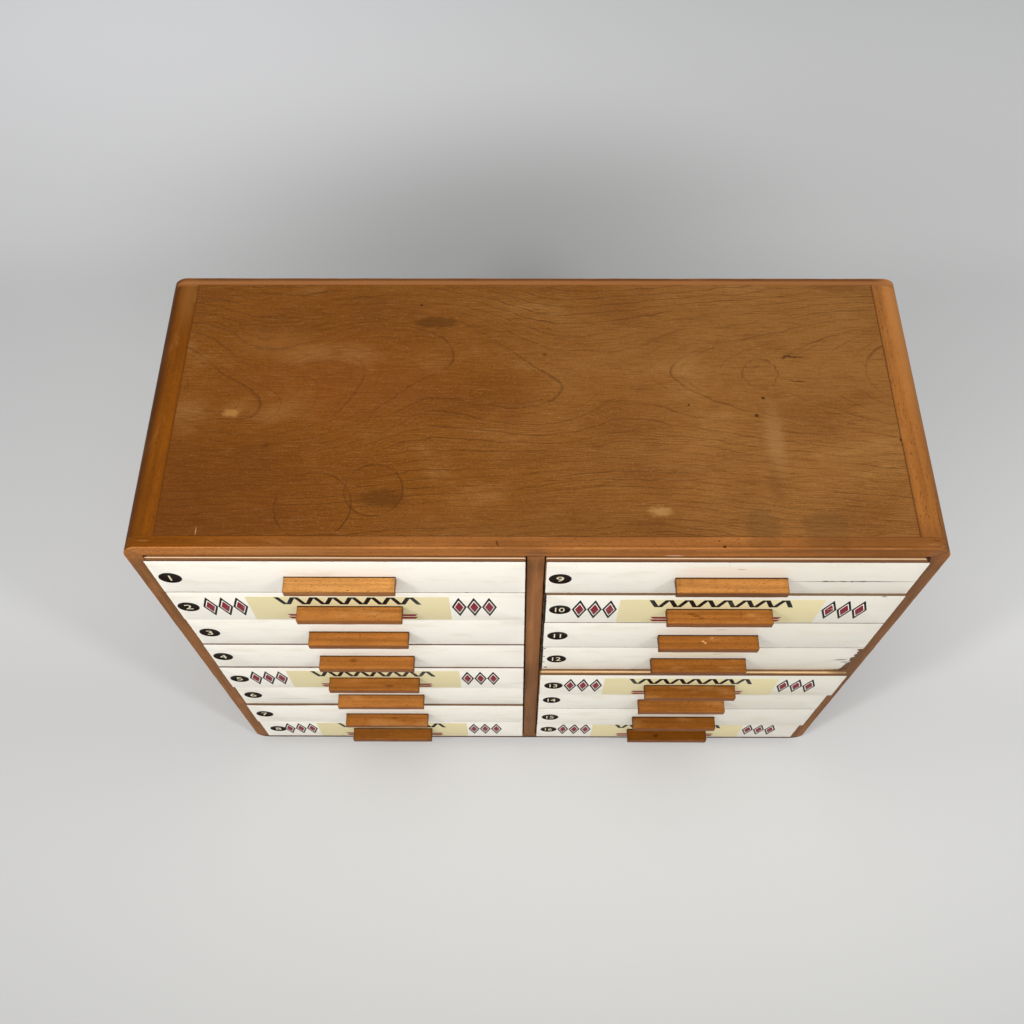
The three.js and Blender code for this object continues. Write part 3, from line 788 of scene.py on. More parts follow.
def top_veneer(woods):
    """Maple veneer, sliced flat, stained and varnished, and rubbed by use. The eye sees thin dark growth
    lines that run into tongues, short flecks, a warm left side, a greyer right side and old stains."""
    finish, add, place = new_finish("stained_maple_veneer", 0.5, Specular_IOR_Level=0.1)
    along, across = (add("SeparateXYZ", (place,), output=axis) for axis in (ALONG_X, ALONG_Y))
    tone = stretched_noise(add, place, (230, 110, 900), 3, 8.2)
    side = add("Math", (tone, 0.5, along), operation="MULTIPLY_ADD")
    mottle = stretched_noise(add, place, (120, 60, 900), 4, 2.5)
    colour = layered(
        add, woods.veneer_amber,
        (woods.veneer_grey, side, 0.0, 0.6),
        ("#66360e", mottle, 0.45, 0.75, 0, 0.45),
        ("#a07440", mottle, 0.45, 0.25, 0, 0.35),
    )
    for ring_width, seed, late_share, least, most in ((8.5, 6.6, 0.18, 0.2, 0.62), (2.9, 9.9, 0.5, 0, 0.32)):
        ring, steep = growth_rings(add, place, ring_width)
        chosen = stretched_noise(add, place, (190, 34, 900), 2, seed)
        begin = add("Math", (steep, -late_share, 0.96), operation="MULTIPLY_ADD")
        strength = between(add, chosen, 0.38, 0.6, least, most)
        colour = layered(add, colour, (woods.growth_line, ring, begin, 1.0, 0, strength))
    fibres = stretched_noise(add, place, (24, 0.8, 900), 3, 5.5)
    grit = stretched_noise(add, place, (2.2, 1.4, 900), 2, 7.5)
    colour = layered(
        add, colour,
        ("#502a08", fibres, 0.52, 0.7, 0, 0.55),
        ("#b58a58", fibres, 0.45, 0.25, 0, 0.2),
        ("#a98050", grit, 0.55, 0.8, 0, 0.32),
        ("#3f2106", grit, 0.45, 0.2, 0, 0.4),
    )
    ragged, uneven = pushed_about(add, place, (90, 140, 1), (16, 12, 0), (3, 3, 0))
    colour = marked(add, colour, ragged, VENEER_MARKS)
    colour = marked(add, colour, place, VENEER_NICKS)
    patchy = stretched_noise(add, place, (34, 34, 900), 2, 3.3)
    for pushed, centre, radius, share in (
        (uneven, (-273, -150, 0), 47, 0.75),
        (uneven, (-200, -128, 0), 36, 0.65),
        (ragged, (294, 48, 0), 22, 0.55),
    ):
        stain = ring_stain(add, pushed, centre, radius, 2.2)
        kept = between(add, patchy, 0.4, 0.6, 0.25, share)
        colour = layered(add, colour, ("#4a2706", add("Math", (stain, kept), operation="MULTIPLY")))
    side_seam = TOP_BOX[1].x - TONGUE
    front_seam = TOP_BOX[0].y
    from_middle = add("Math", (along,), operation="ABSOLUTE")
    open_share = between(add, along, -0.2, 0.2, 0.25, 0.55)
    colour = layered(
        add, colour,
        ("#2c1607", from_middle, side_seam - 1.4 * MM, side_seam - 0.4 * MM, 0, open_share),
        ("#2c1607", across, front_seam + 1.4 * MM, front_seam + 0.3 * MM, 0, 0.2),
    )
    rough = between(add, tone, 0.35, 0.65, 0.42, 0.56)
    return finish_with(finish, colour, fibres, 0.05 * MM, rough)


def board_veneer(woods):
    """The same maple veneer on the sides, the bottom and the divider, with its grain upright and without
    the marks of use. The eye sees plain upright lines."""
    finish, add, place = new_finish("upright_maple_veneer", 0.5, Specular_IOR_Level=0.08)
    streaks = stretched_noise(add, place, (30, 60, 900), 1, 1.0)
    fibres = stretched_noise(add, place, (0.9, 0.9, 40), 3, 2.0)
    late = streaks
    for step, by in (("MULTIPLY", 24.0), ("FRACT", 0.0), ("POWER", 6.0), ("MULTIPLY", 0.5)):
        late = add("Math", (late, by), operation=step)
    colour = layered(
        add, woods.veneer_amber,
        (woods.veneer_grey, streaks, 0.3, 0.7),
        (woods.growth_line, late),
        ("#6b3c16", fibres, 0.5, 0.75, 0, 0.5),
    )
    return finish_with(finish, colour, fibres, 0.05 * MM)


def plywood(name, woods, soiled):
    """Birch plywood, glued in plies of 1.7 mm and left bare. The eye sees pale and dark plies on an edge,
    and a plain pale grain on a face. A soiled one has gone brown, but for its rear face."""
    finish, add, place = new_finish(name, 0.7, Specular_IOR_Level=0.25)
    depth = add("SeparateXYZ", (place,), output=ALONG_Y)
    frontness = add("SeparateXYZ", (add("TexCoord", output=1),), output=ALONG_Y)
    waver = stretched_noise(add, place, (60, 60, 60), 2, 1.0)
    plies = add("Math", (waver, 0.8 * MM, depth), operation="MULTIPLY_ADD")
    plies = add("Math", (plies, math.tau / (2 * PLY)), operation="MULTIPLY")
    plies = add("Math", (plies,), operation="SINE")
    fibres = stretched_noise(add, place, (18, 1.0, 1.0), 3, 3.0)
    dirt = stretched_noise(add, place, (26, 8, 8), 3, 5.0)
    clouds = stretched_noise(add, place, (520, 60, 190), 2, 11.0)
    threads = stretched_noise(add, place, (90, 1.4, 1.4), 3, 7.0)
    waves = add("Math", (stretched_noise(add, place, (420, 40, 40), 1, 9.0), 22.0), operation="MULTIPLY")
    waves = add("Math", (waves,), operation="FRACT")
    edge = layered(
        add, woods.ply_pale,
        (woods.ply_dark, plies, -0.35, 0.35),
        (woods.ply_dark, fibres, 0.5, 0.8, 0, 0.55),
    )
    plain = layered(
        add, woods.ply_pale,
        ("#b98f5e", waves, 0.3, 1, 0, 0.35),
        (woods.ply_dark, threads, 0.5, 0.8, 0, 0.3),
    )
    on_face = add("Math", (frontness,), operation="ABSOLUTE")
    on_face = add("Math", (on_face, 0.7), operation="GREATER_THAN")
    behind = add("Math", (frontness, 0.7), operation="GREATER_THAN")
    soiling = add("Mix", {
        0: behind, 2: between(add, dirt, 0.35, 0.7, soiled, 0.25 + 0.75 * soiled),
        3: between(add, clouds, 0.4, 0.75, 0.04, 0.3),
    })
    colour = layered(add, edge, (plain, on_face), ("#4b2f1a", soiling))
    return finish_with(finish, marked(add, colour, place, PLY_MARKS_AND_SHADOWS), fibres, 0.1 * MM)


def bare_wood(woods):
    """Beech planks, planed and left bare. The eye sees a matt pale wood with fine short flecks."""
    finish, add, place = new_finish("bare_beech", 0.75)
    frontness = add("SeparateXYZ", (add("TexCoord", output=1),), output=ALONG_Y)
    frontness = add("Math", (frontness,), operation="ABSOLUTE")
    streaks = add("Mix", {
        0: between(add, frontness, 0.6, 0.8), 2: stretched_noise(add, place, (4.5, 240, 4.5), 4, 1.0),
        3: stretched_noise(add, place, (240, 4.5, 4.5), 4, 2.0),
    })
    flecks = stretched_noise(add, place, (1.6, 7, 1.6), 2, 3.0)
    colour = layered(
        add, woods.bare,
        ("#a97f4d", streaks, 0.4, 0.75, 0, 0.7),
        ("#8a6236", flecks, 0.58, 0.72, 0, 0.45),
    )
    return finish_with(finish, colour, streaks, 0.1 * MM)


def white_laminate(fronts):
    """Melamine laminate, pressed smooth and yellowed by age. The eye sees a warm satin white that painted
    shade greys to the right, with faint smudges, brown specks, scuffs and, on one front, a long hairline
    crack."""
    finish, add, place = new_finish("white_melamine_laminate", 0.42)
    along = add("SeparateXYZ", (place,), output=ALONG_X)
    smudges = stretched_noise(add, place, (70, 70, 24), 3, 1.0)
    specks = stretched_noise(add, place, (3, 3, 2), 1, 4.0)
    colour = layered(
        add, fronts.white,
        # Painted shade: the white greys towards the right column
        ("#e8e2d4", along, -0.02, 0.34),
        ("#e2d8c2", smudges, 0.48, 0.75, 0, 0.5),
        ("#b09a7c", specks, 0.73, 0.8, 0, 0.4),
    )
    ragged = pushed_about(add, place, (80, 1, 160), (4, 0, 2.5))[0]
    places = ((front_face(number), mark, *rest) for number, mark, *rest in FRONT_MARKS)
    colour = marked(add, colour, ragged, [
        ((x / MM + mark[0], face / MM, low / MM + mark[1]), (radii[0], 9, radii[1]), *rest)
        for ((x, low), face), mark, radii, *rest in places
    ])
    rough = between(add, smudges, 0.35, 0.7, 0.36, 0.5)
    return finish_with(finish, colour, smudges, 0.1 * MM, rough)


def printed(name, colour, base, wearing=0.66):
    """Printing ink on the laminate: even and a little glossy, and rubbed through to the white here and
    there."""
    finish, add, place = new_finish(name, 0.5, Specular_IOR_Level=0.1)
    rubs = stretched_noise(add, place, (16, 16, 7), 4, 2.0)
    haze = stretched_noise(add, place, (60, 60, 30), 2, 6.0)
    return finish_with(finish, layered(
        add, colour,
        (base, rubs, wearing, wearing + 0.06, 0, 0.8),
        (base, haze, 0.5, 0.85, 0, 0.08),
    ))


def speckled(name, colour, other, grains, roughness, **sockets):
    """A hard material of one colour with a fine speckle of another."""
    finish, add, place = new_finish(name, roughness, **sockets)
    speckle = stretched_noise(add, place, (grains, grains, grains), 3, 1.0)
    return finish_with(finish, layered(add, colour, (other, speckle, 0.4, 0.7)), speckle, 0.05 * MM)


# Pieces


def drawer_body(number):
    """Name of the CAD body of a drawer."""
    return f"drawer_{number:02d}"


def front_face(number):
    """Middle of a drawer front's lower edge, as (right, up), and the depth of its face."""
    low, high = FRONT_BOXES[number]
    return ((low.x + high.x) / 2, low.z), low.y


def dress(node, finish):
    """Gives a CAD node a finish."""
    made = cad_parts[node]
    made.data.materials.clear()
    made.data.materials.append(finish)


def strip(start, end, out, wide, front, back, mitres, seed, rebate=None):
    """A strip of solid wood along one side of the carcass's opening.

    Its section has its width outwards from the opening and its depth from its seen face inwards; a rebate
    of a depth and a width may be cut from its inner edge for a panel. It is carried from start to end. At
    a mitred end it swings about the opening's corner by an eighth of a turn, so that its outer face
    follows the carcass's round corner. Its outer arris is worn unevenly, and its paler colour there is
    partly a painted highlight.
    """
    start, end, out = (np.array(part) for part in (start, end, out))
    length = np.linalg.norm(end - start)
    along = (end - start) / length
    plain = np.linspace(0, length, max(2, round(length / RING_SPACING)))
    swing = np.append(np.linspace(0, NEAR_MITRE, 9)[1:], MITRE) if mitres else np.zeros(0)
    places = np.concatenate((swing * 0, plain, swing * 0 + length))
    angles = np.concatenate((-swing[::-1], plain * 0, swing))
    run = places + angles * wide
    worn = WORN_ARRIS + WORN_SWAY * wander(run, seed, 190 * MM).clip(-1, 1)
    thick = abs(back - front)
    # Each corner of the section: its place, the radius and points of its arc, and how worn it is, which on
    # the outer arris is partly a painted highlight
    inner = [((0, 0), KEPT_ARRIS, 3, -0.3), ((FADE, 0), 0, 1, 0)]
    if rebate:
        ledge, width = rebate
        inner = [((0, ledge), 0, 1, 0), ((width, ledge), 0, 1, 0), ((width, 0), KEPT_ARRIS, 3, -0.3),
                 ((width + FADE, 0), 0, 1, 0)]
    outer = [
        ((wide - 2 * FADE, 0), 0, 1, 0), ((wide, 0), worn, 7, 0.5), ((wide, GRIME - MM), 0, 1, 0),
        ((wide, GRIME), 0, 1, -0.35), ((wide, GRIME + MM), 0, 1, 0), ((wide, thick - FADE), 0, 1, 0),
        ((wide, thick), TIGHT_ARRIS, 2, -0.25), ((0, thick), 0, 1, 0),
    ]
    lines, radii, steps, wear_and_shading = zip(*inner, *outer)
    radii = np.stack([np.broadcast_to(radius, run.shape) for radius in radii], axis=-1)
    loops = rounded_loop(np.broadcast_to(lines, (len(run), len(lines), 2)), radii, steps)
    drawn_in = np.zeros(len(run))
    drawn_in[[0, -1]] = TIGHT_ARRIS
    loops = loops - outward(loops) * drawn_in[:, None, None]
    swung = np.cos(angles)[:, None] * out + np.sin(angles)[:, None] * along
    flat = start + places[:, None] * along
    rings = flat[:, None, :] + loops[..., :1] * swung[:, None, :]
    rings[..., 1] = front + loops[..., 1] * np.sign(back - front)
    rub = (0.55 + 0.45 * wander(run, seed + 9, 120 * MM)).clip(0, 1)
    wear_and_shading = np.repeat(wear_and_shading, steps)
    wear_and_shading = np.where(wear_and_shading > 0, wear_and_shading * rub[:, None], wear_and_shading)
    if mitres:
        wear_and_shading[[0, 1, -2, -1]] = -0.35
    return closed(rings, wear_and_shading)


def edging_strips(wide, front, back, seed, rebate=None):
    """The four mitred strips round the opening, each from one inner corner to the next."""
    right = HALF_WIDTH - wide
    top = HEIGHT - wide
    corners = [(-right, 0, wide), (right, 0, wide), (right, 0, top), (-right, 0, top)]
    outs = [(0, 0, -1), (1, 0, 0), (0, 0, 1), (-1, 0, 0)]
    names = ["bottom", "right", "top", "left"]
    return {
        name: strip(corners[place], corners[(place + 1) % 4], outs[place], wide, front, back, True,
                    seed + place, rebate)
        for place, name in enumerate(names)
    }


def corner_block(side, level):
    """A solid block in one corner of the carcass: its L-shaped section, with the outer corner turned into
    an arc of the board's thickness, is carried from front to back."""
    near, far = (BOARD - GROOVE) / 2, (BOARD + GROOVE) / 2
    floor = CORNER_LEG - GROOVE_DEPTH
    leg = [(CORNER_LEG - JOINT_GRIME, 0), (CORNER_LEG, 0), (CORNER_LEG, near), (floor, near), (floor, far),
           (CORNER_LEG, far), (CORNER_LEG, BOARD)]
    other = [(across, along) for along, across in reversed(leg)]
    lines = np.array([(0, 0), *leg, (BOARD, BOARD), *other])
    joints = [2, -2]
    radii = np.zeros(len(lines))
    radii[0] = BOARD
    radii[joints] = JOINT_ARRIS
    steps = np.ones(len(lines), int)
    steps[0] = ROUND_POINTS
    steps[joints] = 2
    loop = rounded_loop(lines, radii, steps)
    wear_and_shading = np.zeros(len(lines))
    wear_and_shading[joints] = -0.2 if side < 0 else -0.45
    wear_and_shading = np.repeat(wear_and_shading, steps)
    # The round outer corner darkens, more on the left: darkened varnish and painted shade
    round_wear_and_shade = -0.5 if side < 0 else -0.2
    wear_and_shading[:ROUND_POINTS] = round_wear_and_shade * np.sin(np.linspace(0, math.pi, ROUND_POINTS)) ** 1.5
    low, high = BLOCK_BOX[0].y, BLOCK_BOX[1].y
    plain = np.linspace(low, high, 24)[1:-1]
    depth = np.array([low, low + END_ARRIS, *plain, high - END_ARRIS, high])
    inset = np.zeros(len(depth))
    inset[[0, -1]] = END_ARRIS
    loops = loop - outward(loop) * inset[:, None, None]
    x = side * (HALF_WIDTH - loops[..., 0])
    z = HEIGHT - loops[..., 1] if level else loops[..., 1]
    y = np.broadcast_to(depth[:, None], x.shape)
    return closed(np.stack((x, y, z), axis=-1), wear_and_shading)


def front_outline(number):
    """Outline of a drawer's white sheet: a rectangle with small round corners whose edges waver a little.
    Small bites are worn out of its edges, a few sheets fall short on the left, and one has lost most of
    its right end."""
    low, high = FRONT_BOXES[number]
    half, tall = (high.x - low.x) / 2, high.z - low.z
    across = np.linspace(-half, half, round(2 * half / OUTLINE_STEP) + 1)[1:-1]
    up = np.linspace(0, tall, round(tall / OUTLINE_STEP) + 1)[1:-1]
    lower = np.stack((across, across * 0), axis=-1)
    right = np.stack((up * 0 + half, up), axis=-1)
    lines = np.concatenate(([(-half, 0)], lower, [(half, 0)], right, [(half, tall)], lower[::-1] + (0, tall),
                            [(-half, tall)], right[::-1] * (-1, 1)))
    radii = np.zeros(len(lines))
    steps = np.ones(len(lines), int)
    corners = np.cumsum([0, len(lower) + 1, len(right) + 1, len(lower) + 1])
    radii[corners] = SHEET_CORNER
    steps[corners] = 5
    loop = rounded_loop(lines, radii, steps)
    place = np.arange(len(loop)) * OUTLINE_STEP
    bites = (wander(place, number * 7, 60 * MM) - 0.95).clip(0, 1) * BITE
    waver = 0.12 * MM * wander(place, number, 40 * MM) - 0.05 * MM
    loop = loop - outward(loop) * (waver + bites)[:, None]
    near_left = 1 - (loop[:, 0] + half) / (12 * MM)
    loop[:, 0] += SHORT_SHEETS.get(number, 0) * MM * near_left.clip(0, 1)
    if number == BROKEN:
        # What is lost at the right end, in mm: more towards the lower edge, which is torn near there too
        upness = 1 - loop[:, 1] / tall
        ragged = wander(loop[:, 1], 5, 34 * MM) * 0.9 + wander(loop[:, 1], 6, 7 * MM) * 0.5
        loss = (4.5 + 3 * ragged + 7 * upness ** 2).clip(0.4, 20) * MM * (upness > 0.06)
        loop[:, 0] = np.minimum(loop[:, 0], half - loss)
        from_end = (half - loop[:, 0]) / (52 * MM)
        torn = (3.2 + 2.6 * wander(loop[:, 0], 8, 12 * MM)).clip(0, 9) * MM * (1 - from_end).clip(0, 1)
        loop[:, 1] = np.maximum(loop[:, 1], torn)
    return loop


def white_sheet(number, thickness):
    """The sheet on a drawer's front. It stands a little proud of the plywood, and its worn arris shows
    its brown core."""
    centre, face = front_face(number)
    return plate(front_outline(number), centre, face - PROUD + thickness, face - PROUD, SHEET_ARRIS,
                 [1, 1, 1, 1, 1, 0])


def four_sided(corners, arris, steps=3):
    """A four-sided outline with small round corners, from corners and an arris in mm."""
    return rounded_loop(np.array(corners) * MM, np.full(4, arris * MM), [steps] * 4)


def printed_band(number):
    """A band in four layers of print: a pale ground, then a row of zigzag stitches above the pull, two
    rules below it, and three lozenges at each end with a rim, a gap and a heart."""
    centre, face = front_face(number)
    ground = face - PROUD
    tall = FRONT_BOXES[number][1].z - FRONT_BOXES[number][0].z
    low, high, half = BAND
    layers = [(four_sided([(-half, low), (half, low), (half, high), (-half, high)], 0.4), 1, 0)]
    wide, high, lean, below = STITCH
    for place, x in enumerate(np.linspace(-STITCHES_REACH, STITCHES_REACH, STITCHES)):
        shift = lean if place % 2 else -lean
        stroke = [(side * wide + up * shift, up * high) for side, up in ((-1, -1), (1, -1), (1, 1), (-1, 1))]
        layers.append((four_sided(stroke, 0.3) + (x * MM, tall - below * MM), 2, 1))
    half, flare, thick, lows = RULE
    for low in lows:
        rule = [(-half, low), (half, low), (half + flare, low + thick), (-half - flare, low + thick)]
        layers.append((four_sided(rule, 0.2, 2), 2, 2))
    for x in (x * side for side in (-1, 1) for x in LOZENGE_PLACES):
        for depth, (half, high, ink) in enumerate(LOZENGE_LAYERS):
            lozenge = four_sided([(0, -high), (half, 0), (0, high), (-half, 0)], 0.5)
            layers.append((lozenge + (x * MM, tall - LOZENGES_BELOW * MM), depth + 1, ink))
    return [
        plate(loop, centre, ground + INK_BACK, ground - depth * INK, INK_EASE, [ink] * 6)
        for loop, depth, ink in layers
    ]


def number_disc(number, diameter):
    """A turned disc: a low round rim with a flat floor a little below it."""
    (x, low), face = front_face(number)
    ground = face - PROUD
    right, up = np.add(DISC_PLACE, DISC_SHIFTS.get(number, (0, 0))) * MM
    centre = (x + right, FRONT_BOXES[number][1].z + up)
    loop = ellipse(diameter, diameter, 72)
    normal = outward(loop)
    rings = [upright(loop - normal * cut * MM, centre, ground - out * MM) for cut, out in DISC_PROFILE]
    floor = ground - DISC_PROFILE[-1][1] * MM
    return closed(np.array(rings), finishes=[0, 0, 0, 0, 0, 0, 0, 1]), centre, floor


def numeral(number, centre, face, height, finish):
    """A drawer's number: text made a mesh, then scaled to its height and set upright on its disc."""
    text = bpy.data.curves.new("numeral", "FONT")
    text.body = str(number)
    text.extrude = 0.05
    text.space_character = 0.95
    holder = placed("numeral", text)
    bpy.context.view_layer.update()
    mesh = bpy.data.meshes.new_from_object(holder.evaluated_get(bpy.context.evaluated_depsgraph_get()))
    bpy.data.objects.remove(holder)
    bpy.data.curves.remove(text)
    points = np.zeros(len(mesh.vertices) * 3, np.float32)
    mesh.vertices.foreach_get("co", points)
    points = points.reshape(-1, 3)
    low, high = points.min(0), points.max(0)
    stretch = ONE_FIGURE if number < 10 else TWO_FIGURES
    scale = height / (high[1] - low[1])
    middle = (low + high) / 2
    x = centre[0] + (points[:, 0] - middle[0]) * scale * stretch
    z = centre[1] + (points[:, 1] - middle[1]) * scale
    y = face + NUMERAL_SUNK - (points[:, 2] > middle[2]) * NUMERAL_THICKNESS
    mesh.vertices.foreach_set("co", np.stack((x, y, z), axis=-1).astype(np.float32).ravel())
    mesh.name = f"drawer_{number:02d}_numeral"
    mesh.materials.clear()
    mesh.materials.append(finish)
    tidy(mesh, NUMERAL_SHARP)
    made = placed(mesh.name, mesh)
    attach(made, drawer_body(number))
    return made


def pull(number):
    """A bar pull: its section carried along the drawer and drawn in at both ends along a quarter circle.
    A finger cove is a parabola cut into its underside, and its arrises are worn unevenly. Dirt and painted
    shade darken the crease along the drawer's front, and end grain and painted shade darken the ends."""
    low, high = PULL_BOXES[number]
    reach, tall = high.y - low.y, high.z - low.z
    quarter = np.linspace(0, math.pi / 2, 5)
    from_end = PULL_EASE * (1 - np.sin(quarter))[::-1]
    cut = PULL_EASE * (1 - np.cos(quarter))[::-1]
    plain = np.linspace(low.x + PULL_EASE, high.x - PULL_EASE, 24)[1:-1]
    x = np.concatenate((low.x + from_end, plain, high.x - from_end[::-1]))
    inset = np.concatenate((cut, plain * 0, cut[::-1]))
    cove = np.linspace(*COVE, 9)
    under = np.stack((cove, np.full(9, -tall)), axis=-1)
    front = [(reach, -tall), (reach, -RUBBED), (reach, 0), (reach - RUBBED, 0), (PULL_GRIME_AND_SHADE, 0)]
    lines = np.concatenate(([(0, 0), (0, -tall)], under, front))
    count = len(lines)
    arrises = [count - 5, count - 3]
    steps = np.ones(count, int)
    steps[arrises] = 6
    worn = (1.3 + 0.5 * wander(x, number * 3, 90 * MM)).clip(0.7, 2) * MM
    radii = np.zeros((len(x), count))
    radii[:, arrises] = worn[:, None]
    loops = rounded_loop(np.broadcast_to(lines, (len(x), count, 2)), radii, steps)
    share = ((loops[..., 0] - cove[0]) / (cove[-1] - cove[0])).clip(0, 1)
    under_side = loops[..., 1] <= -tall + 0.001 * MM
    loops[..., 1] += np.where(under_side, 4 * COVE_DEPTH * share * (1 - share), 0)
    back = loops[..., 0] < 0.001 * MM
    loops = loops - outward(loops) * inset[:, None, None]
    loops[..., 0] = np.where(back, 0, loops[..., 0])
    wear_and_shading = np.zeros(count)
    wear_and_shading[arrises] = (0.2, 0.5)
    # Dirt and painted shade in the crease against the drawer's front
    wear_and_shading[0] = -2.0
    wear_and_shading = np.repeat(wear_and_shading, steps)
    rub = (0.5 + 0.5 * wander(x, number * 5, 60 * MM)).clip(0.1, 1)
    wear_and_shading = wear_and_shading * np.where(wear_and_shading > 0, rub[:, None], 1)
    # The ends darkened: end grain and painted shade
    rings_from_end = np.minimum(np.arange(len(x)), np.arange(len(x))[::-1])
    wear_and_shading = wear_and_shading - np.interp(rings_from_end, [0, 1, 4, 5], [0.75, 0.55, 0.15, 0])[:, None]
    y = high.y - loops[..., 0]
    z = high.z + loops[..., 1]
    return closed(np.stack((np.broadcast_to(x[:, None], y.shape), y, z), axis=-1), wear_and_shading)


def screw_head(x, y, z, diameter):
    """A slotted round head that faces the rear: a low dome turned about the screw's axis, with its middle
    drawn down along a slot that is turned by its height. Its sizes are shares of its diameter."""
    angle = np.linspace(0, math.tau, 32, endpoint=False)
    reach, proud = np.array(HEAD_PROFILE_SHARES).T[..., None] * diameter
    half_slot, slot_end, slot_depth = np.array(SLOT_SHARES) * diameter
    right = reach * np.cos(angle)
    up = reach * np.sin(angle)
    from_slot = np.abs(right * math.cos(z * 90) + up * math.sin(z * 90))
    depth = np.where((from_slot < half_slot) & (reach < slot_end), proud - slot_depth, proud)
    return closed(np.stack((x + right, y + depth.clip(0), z + up), axis=-1))


# Operators


def woods():
    """The wood colours that the user has set."""
    return bpy.context.scene.sewing_cabinet_woods


def fronts():
    """The front colours and sizes that the user has set."""
    return bpy.context.scene.sewing_cabinet_fronts


def need(name, make):
    """A finish by its name, made the first time that it is asked for."""
    return bpy.data.materials.get(name) or make()


def edging_finish():
    """Beech, sawn, planed and varnished. The eye sees a warm red-brown with fine dark flecks, and paler wood
    where the varnish has rubbed off the arrises, partly a painted highlight. Painted light brightens the
    front faces of the front edging, and painted shade darkens the back edging and greys the lower parts."""
    spans = (
        (ALONG_X, -0.1, -0.47, "#7a430b"),
        (ALONG_X, 0.1, 0.45, "#9c622d"),
        # Painted light on the front edging's front faces, and painted shade on the back edging
        (ALONG_Y, -0.2062, -0.2072, "#b8763c"),
        (ALONG_Y, 0.1945, 0.1955, "#754725"),
        # Painted shade: below the top, the edging greys to the upright lips' colour
        (ALONG_Z, 0.77, 0.735, woods().lip),
    )
    return need("varnished_beech", lambda: solid_wood(
        "varnished_beech", woods().edging, woods().edging_front, "#bb7c46", 0.42, spans, EDGING_MARKS_AND_SHADE))


def pull_finish():
    """Beech again, turned darker and glossier by hands."""
    spans = (("tone", 0, 0.5, woods().pull_middle), ("tone", 0.5, 1, woods().pull_low))
    return need("handled_beech", lambda: solid_wood(
        "handled_beech", woods().pull, woods().pull_front, "#c99359", 0.36, spans, PULL_MARKS_AND_SHADE, streak=5,
        fibre=1.7, seed=11.0, front_shade=0.55))


def floor_paint(colour):
    """Matt paint on a smooth floor. The eye sees a plain pale grey with painted light, lighter to the right
    and behind, and with painted shade, darker in front and beyond the cabinet, where a painted shadow lies."""
    finish, add, place = new_finish("floor_paint_light_and_shade", 0.75)
    along, ahead = (add("SeparateXYZ", (place,), output=axis) for axis in (ALONG_X, ALONG_Y))
    paint = layered(
        add, colour,
        # Painted light to the right, and painted shade towards the front
        ("#e4e4e2", along, -1.4, 1.4),
        ("#9c9c9a", ahead, 0.12, -0.2, 0, 0.29),
        ("#9c9c9a", ahead, -0.3, -1.05, 0, 0.6),
    )
    return finish_with(finish, marked(add, paint, place, FLOOR_LIGHT_AND_SHADE))


def hang_lamp(name, shape, size, power, place, turn):
    """Hangs an area lamp at a place, turned, and gives it back."""
    lamp = bpy.data.lights.new(name, "AREA")
    lamp.shape = shape
    lamp.size, lamp.size_y = size
    lamp.energy = power
    holder = placed(name, lamp)
    holder.location = place
    holder.rotation_euler = turn
    return lamp


class CABINET_OT_boards(bpy.types.Operator):
    """Finishes the boards and the back panel of the carcass"""

    bl_idname = "sewing_cabinet.boards"
    bl_label = "Boards"

    def execute(self, context):
        dress("top_panel", top_veneer(woods()))
        upright_veneer = board_veneer(woods())
        for name in ("bottom_panel", "left_side_panel", "right_side_panel", "centre_divider"):
            dress(name, upright_veneer)
        dress("back_panel", plywood("birch_plywood", woods(), 0.1))
        return {"FINISHED"}


class CABINET_OT_edging(bpy.types.Operator):
    """Makes the solid strips on the front and back of the carcass"""

    bl_idname = "sewing_cabinet.edging"
    bl_label = "Edging strips"

    def execute(self, context):
        wood = [edging_finish()]
        front, back = EDGING_BOX[0].y, EDGING_BOX[1].y
        strips = edging_strips(BOARD, front, back, 20)
        half = BOARD / 2
        rail = strip((-half, 0, BOARD), (-half, 0, HEIGHT - BOARD), (1, 0, 0), BOARD, front, back, False, 31)
        strips["middle"] = rail
        for name, body in strips.items():
            grain = ALONG_X if name in ("top", "bottom") else ALONG_Z
            made = piece(f"front_edging_{name}", [body], wood, "carcass", grain)
            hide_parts("front_edging")
        front, back = BACK_EDGING_BOX[1].y, BACK_EDGING_BOX[0].y
        ledge = BACK_PANEL_BOX[1].y - BACK_PANEL_BOX[0].y + 0.1 * MM
        for name, body in edging_strips(BOARD, front, back, 40, (ledge, REBATE)).items():
            grain = ALONG_X if name in ("top", "bottom") else ALONG_Z
            made = piece(f"back_edging_{name}", [body], wood, "carcass", grain)
            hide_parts("back_edging")
        return {"FINISHED"}


class CABINET_OT_corner_blocks(bpy.types.Operator):
    """Makes the four solid corner blocks"""

    bl_idname = "sewing_cabinet.corner_blocks"
    bl_label = "Corner blocks"

    def execute(self, context):
        for level, height in ((0, "bottom"), (1, "top")):
            for side, hand in ((-1, "left"), (1, "right")):
                name = f"{height}_{hand}_corner_block"
                made = piece(f"{name}_wood", [corner_block(side, level)], [edging_finish()], "carcass",
                             ALONG_Y)
                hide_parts(name)
        return {"FINISHED"}


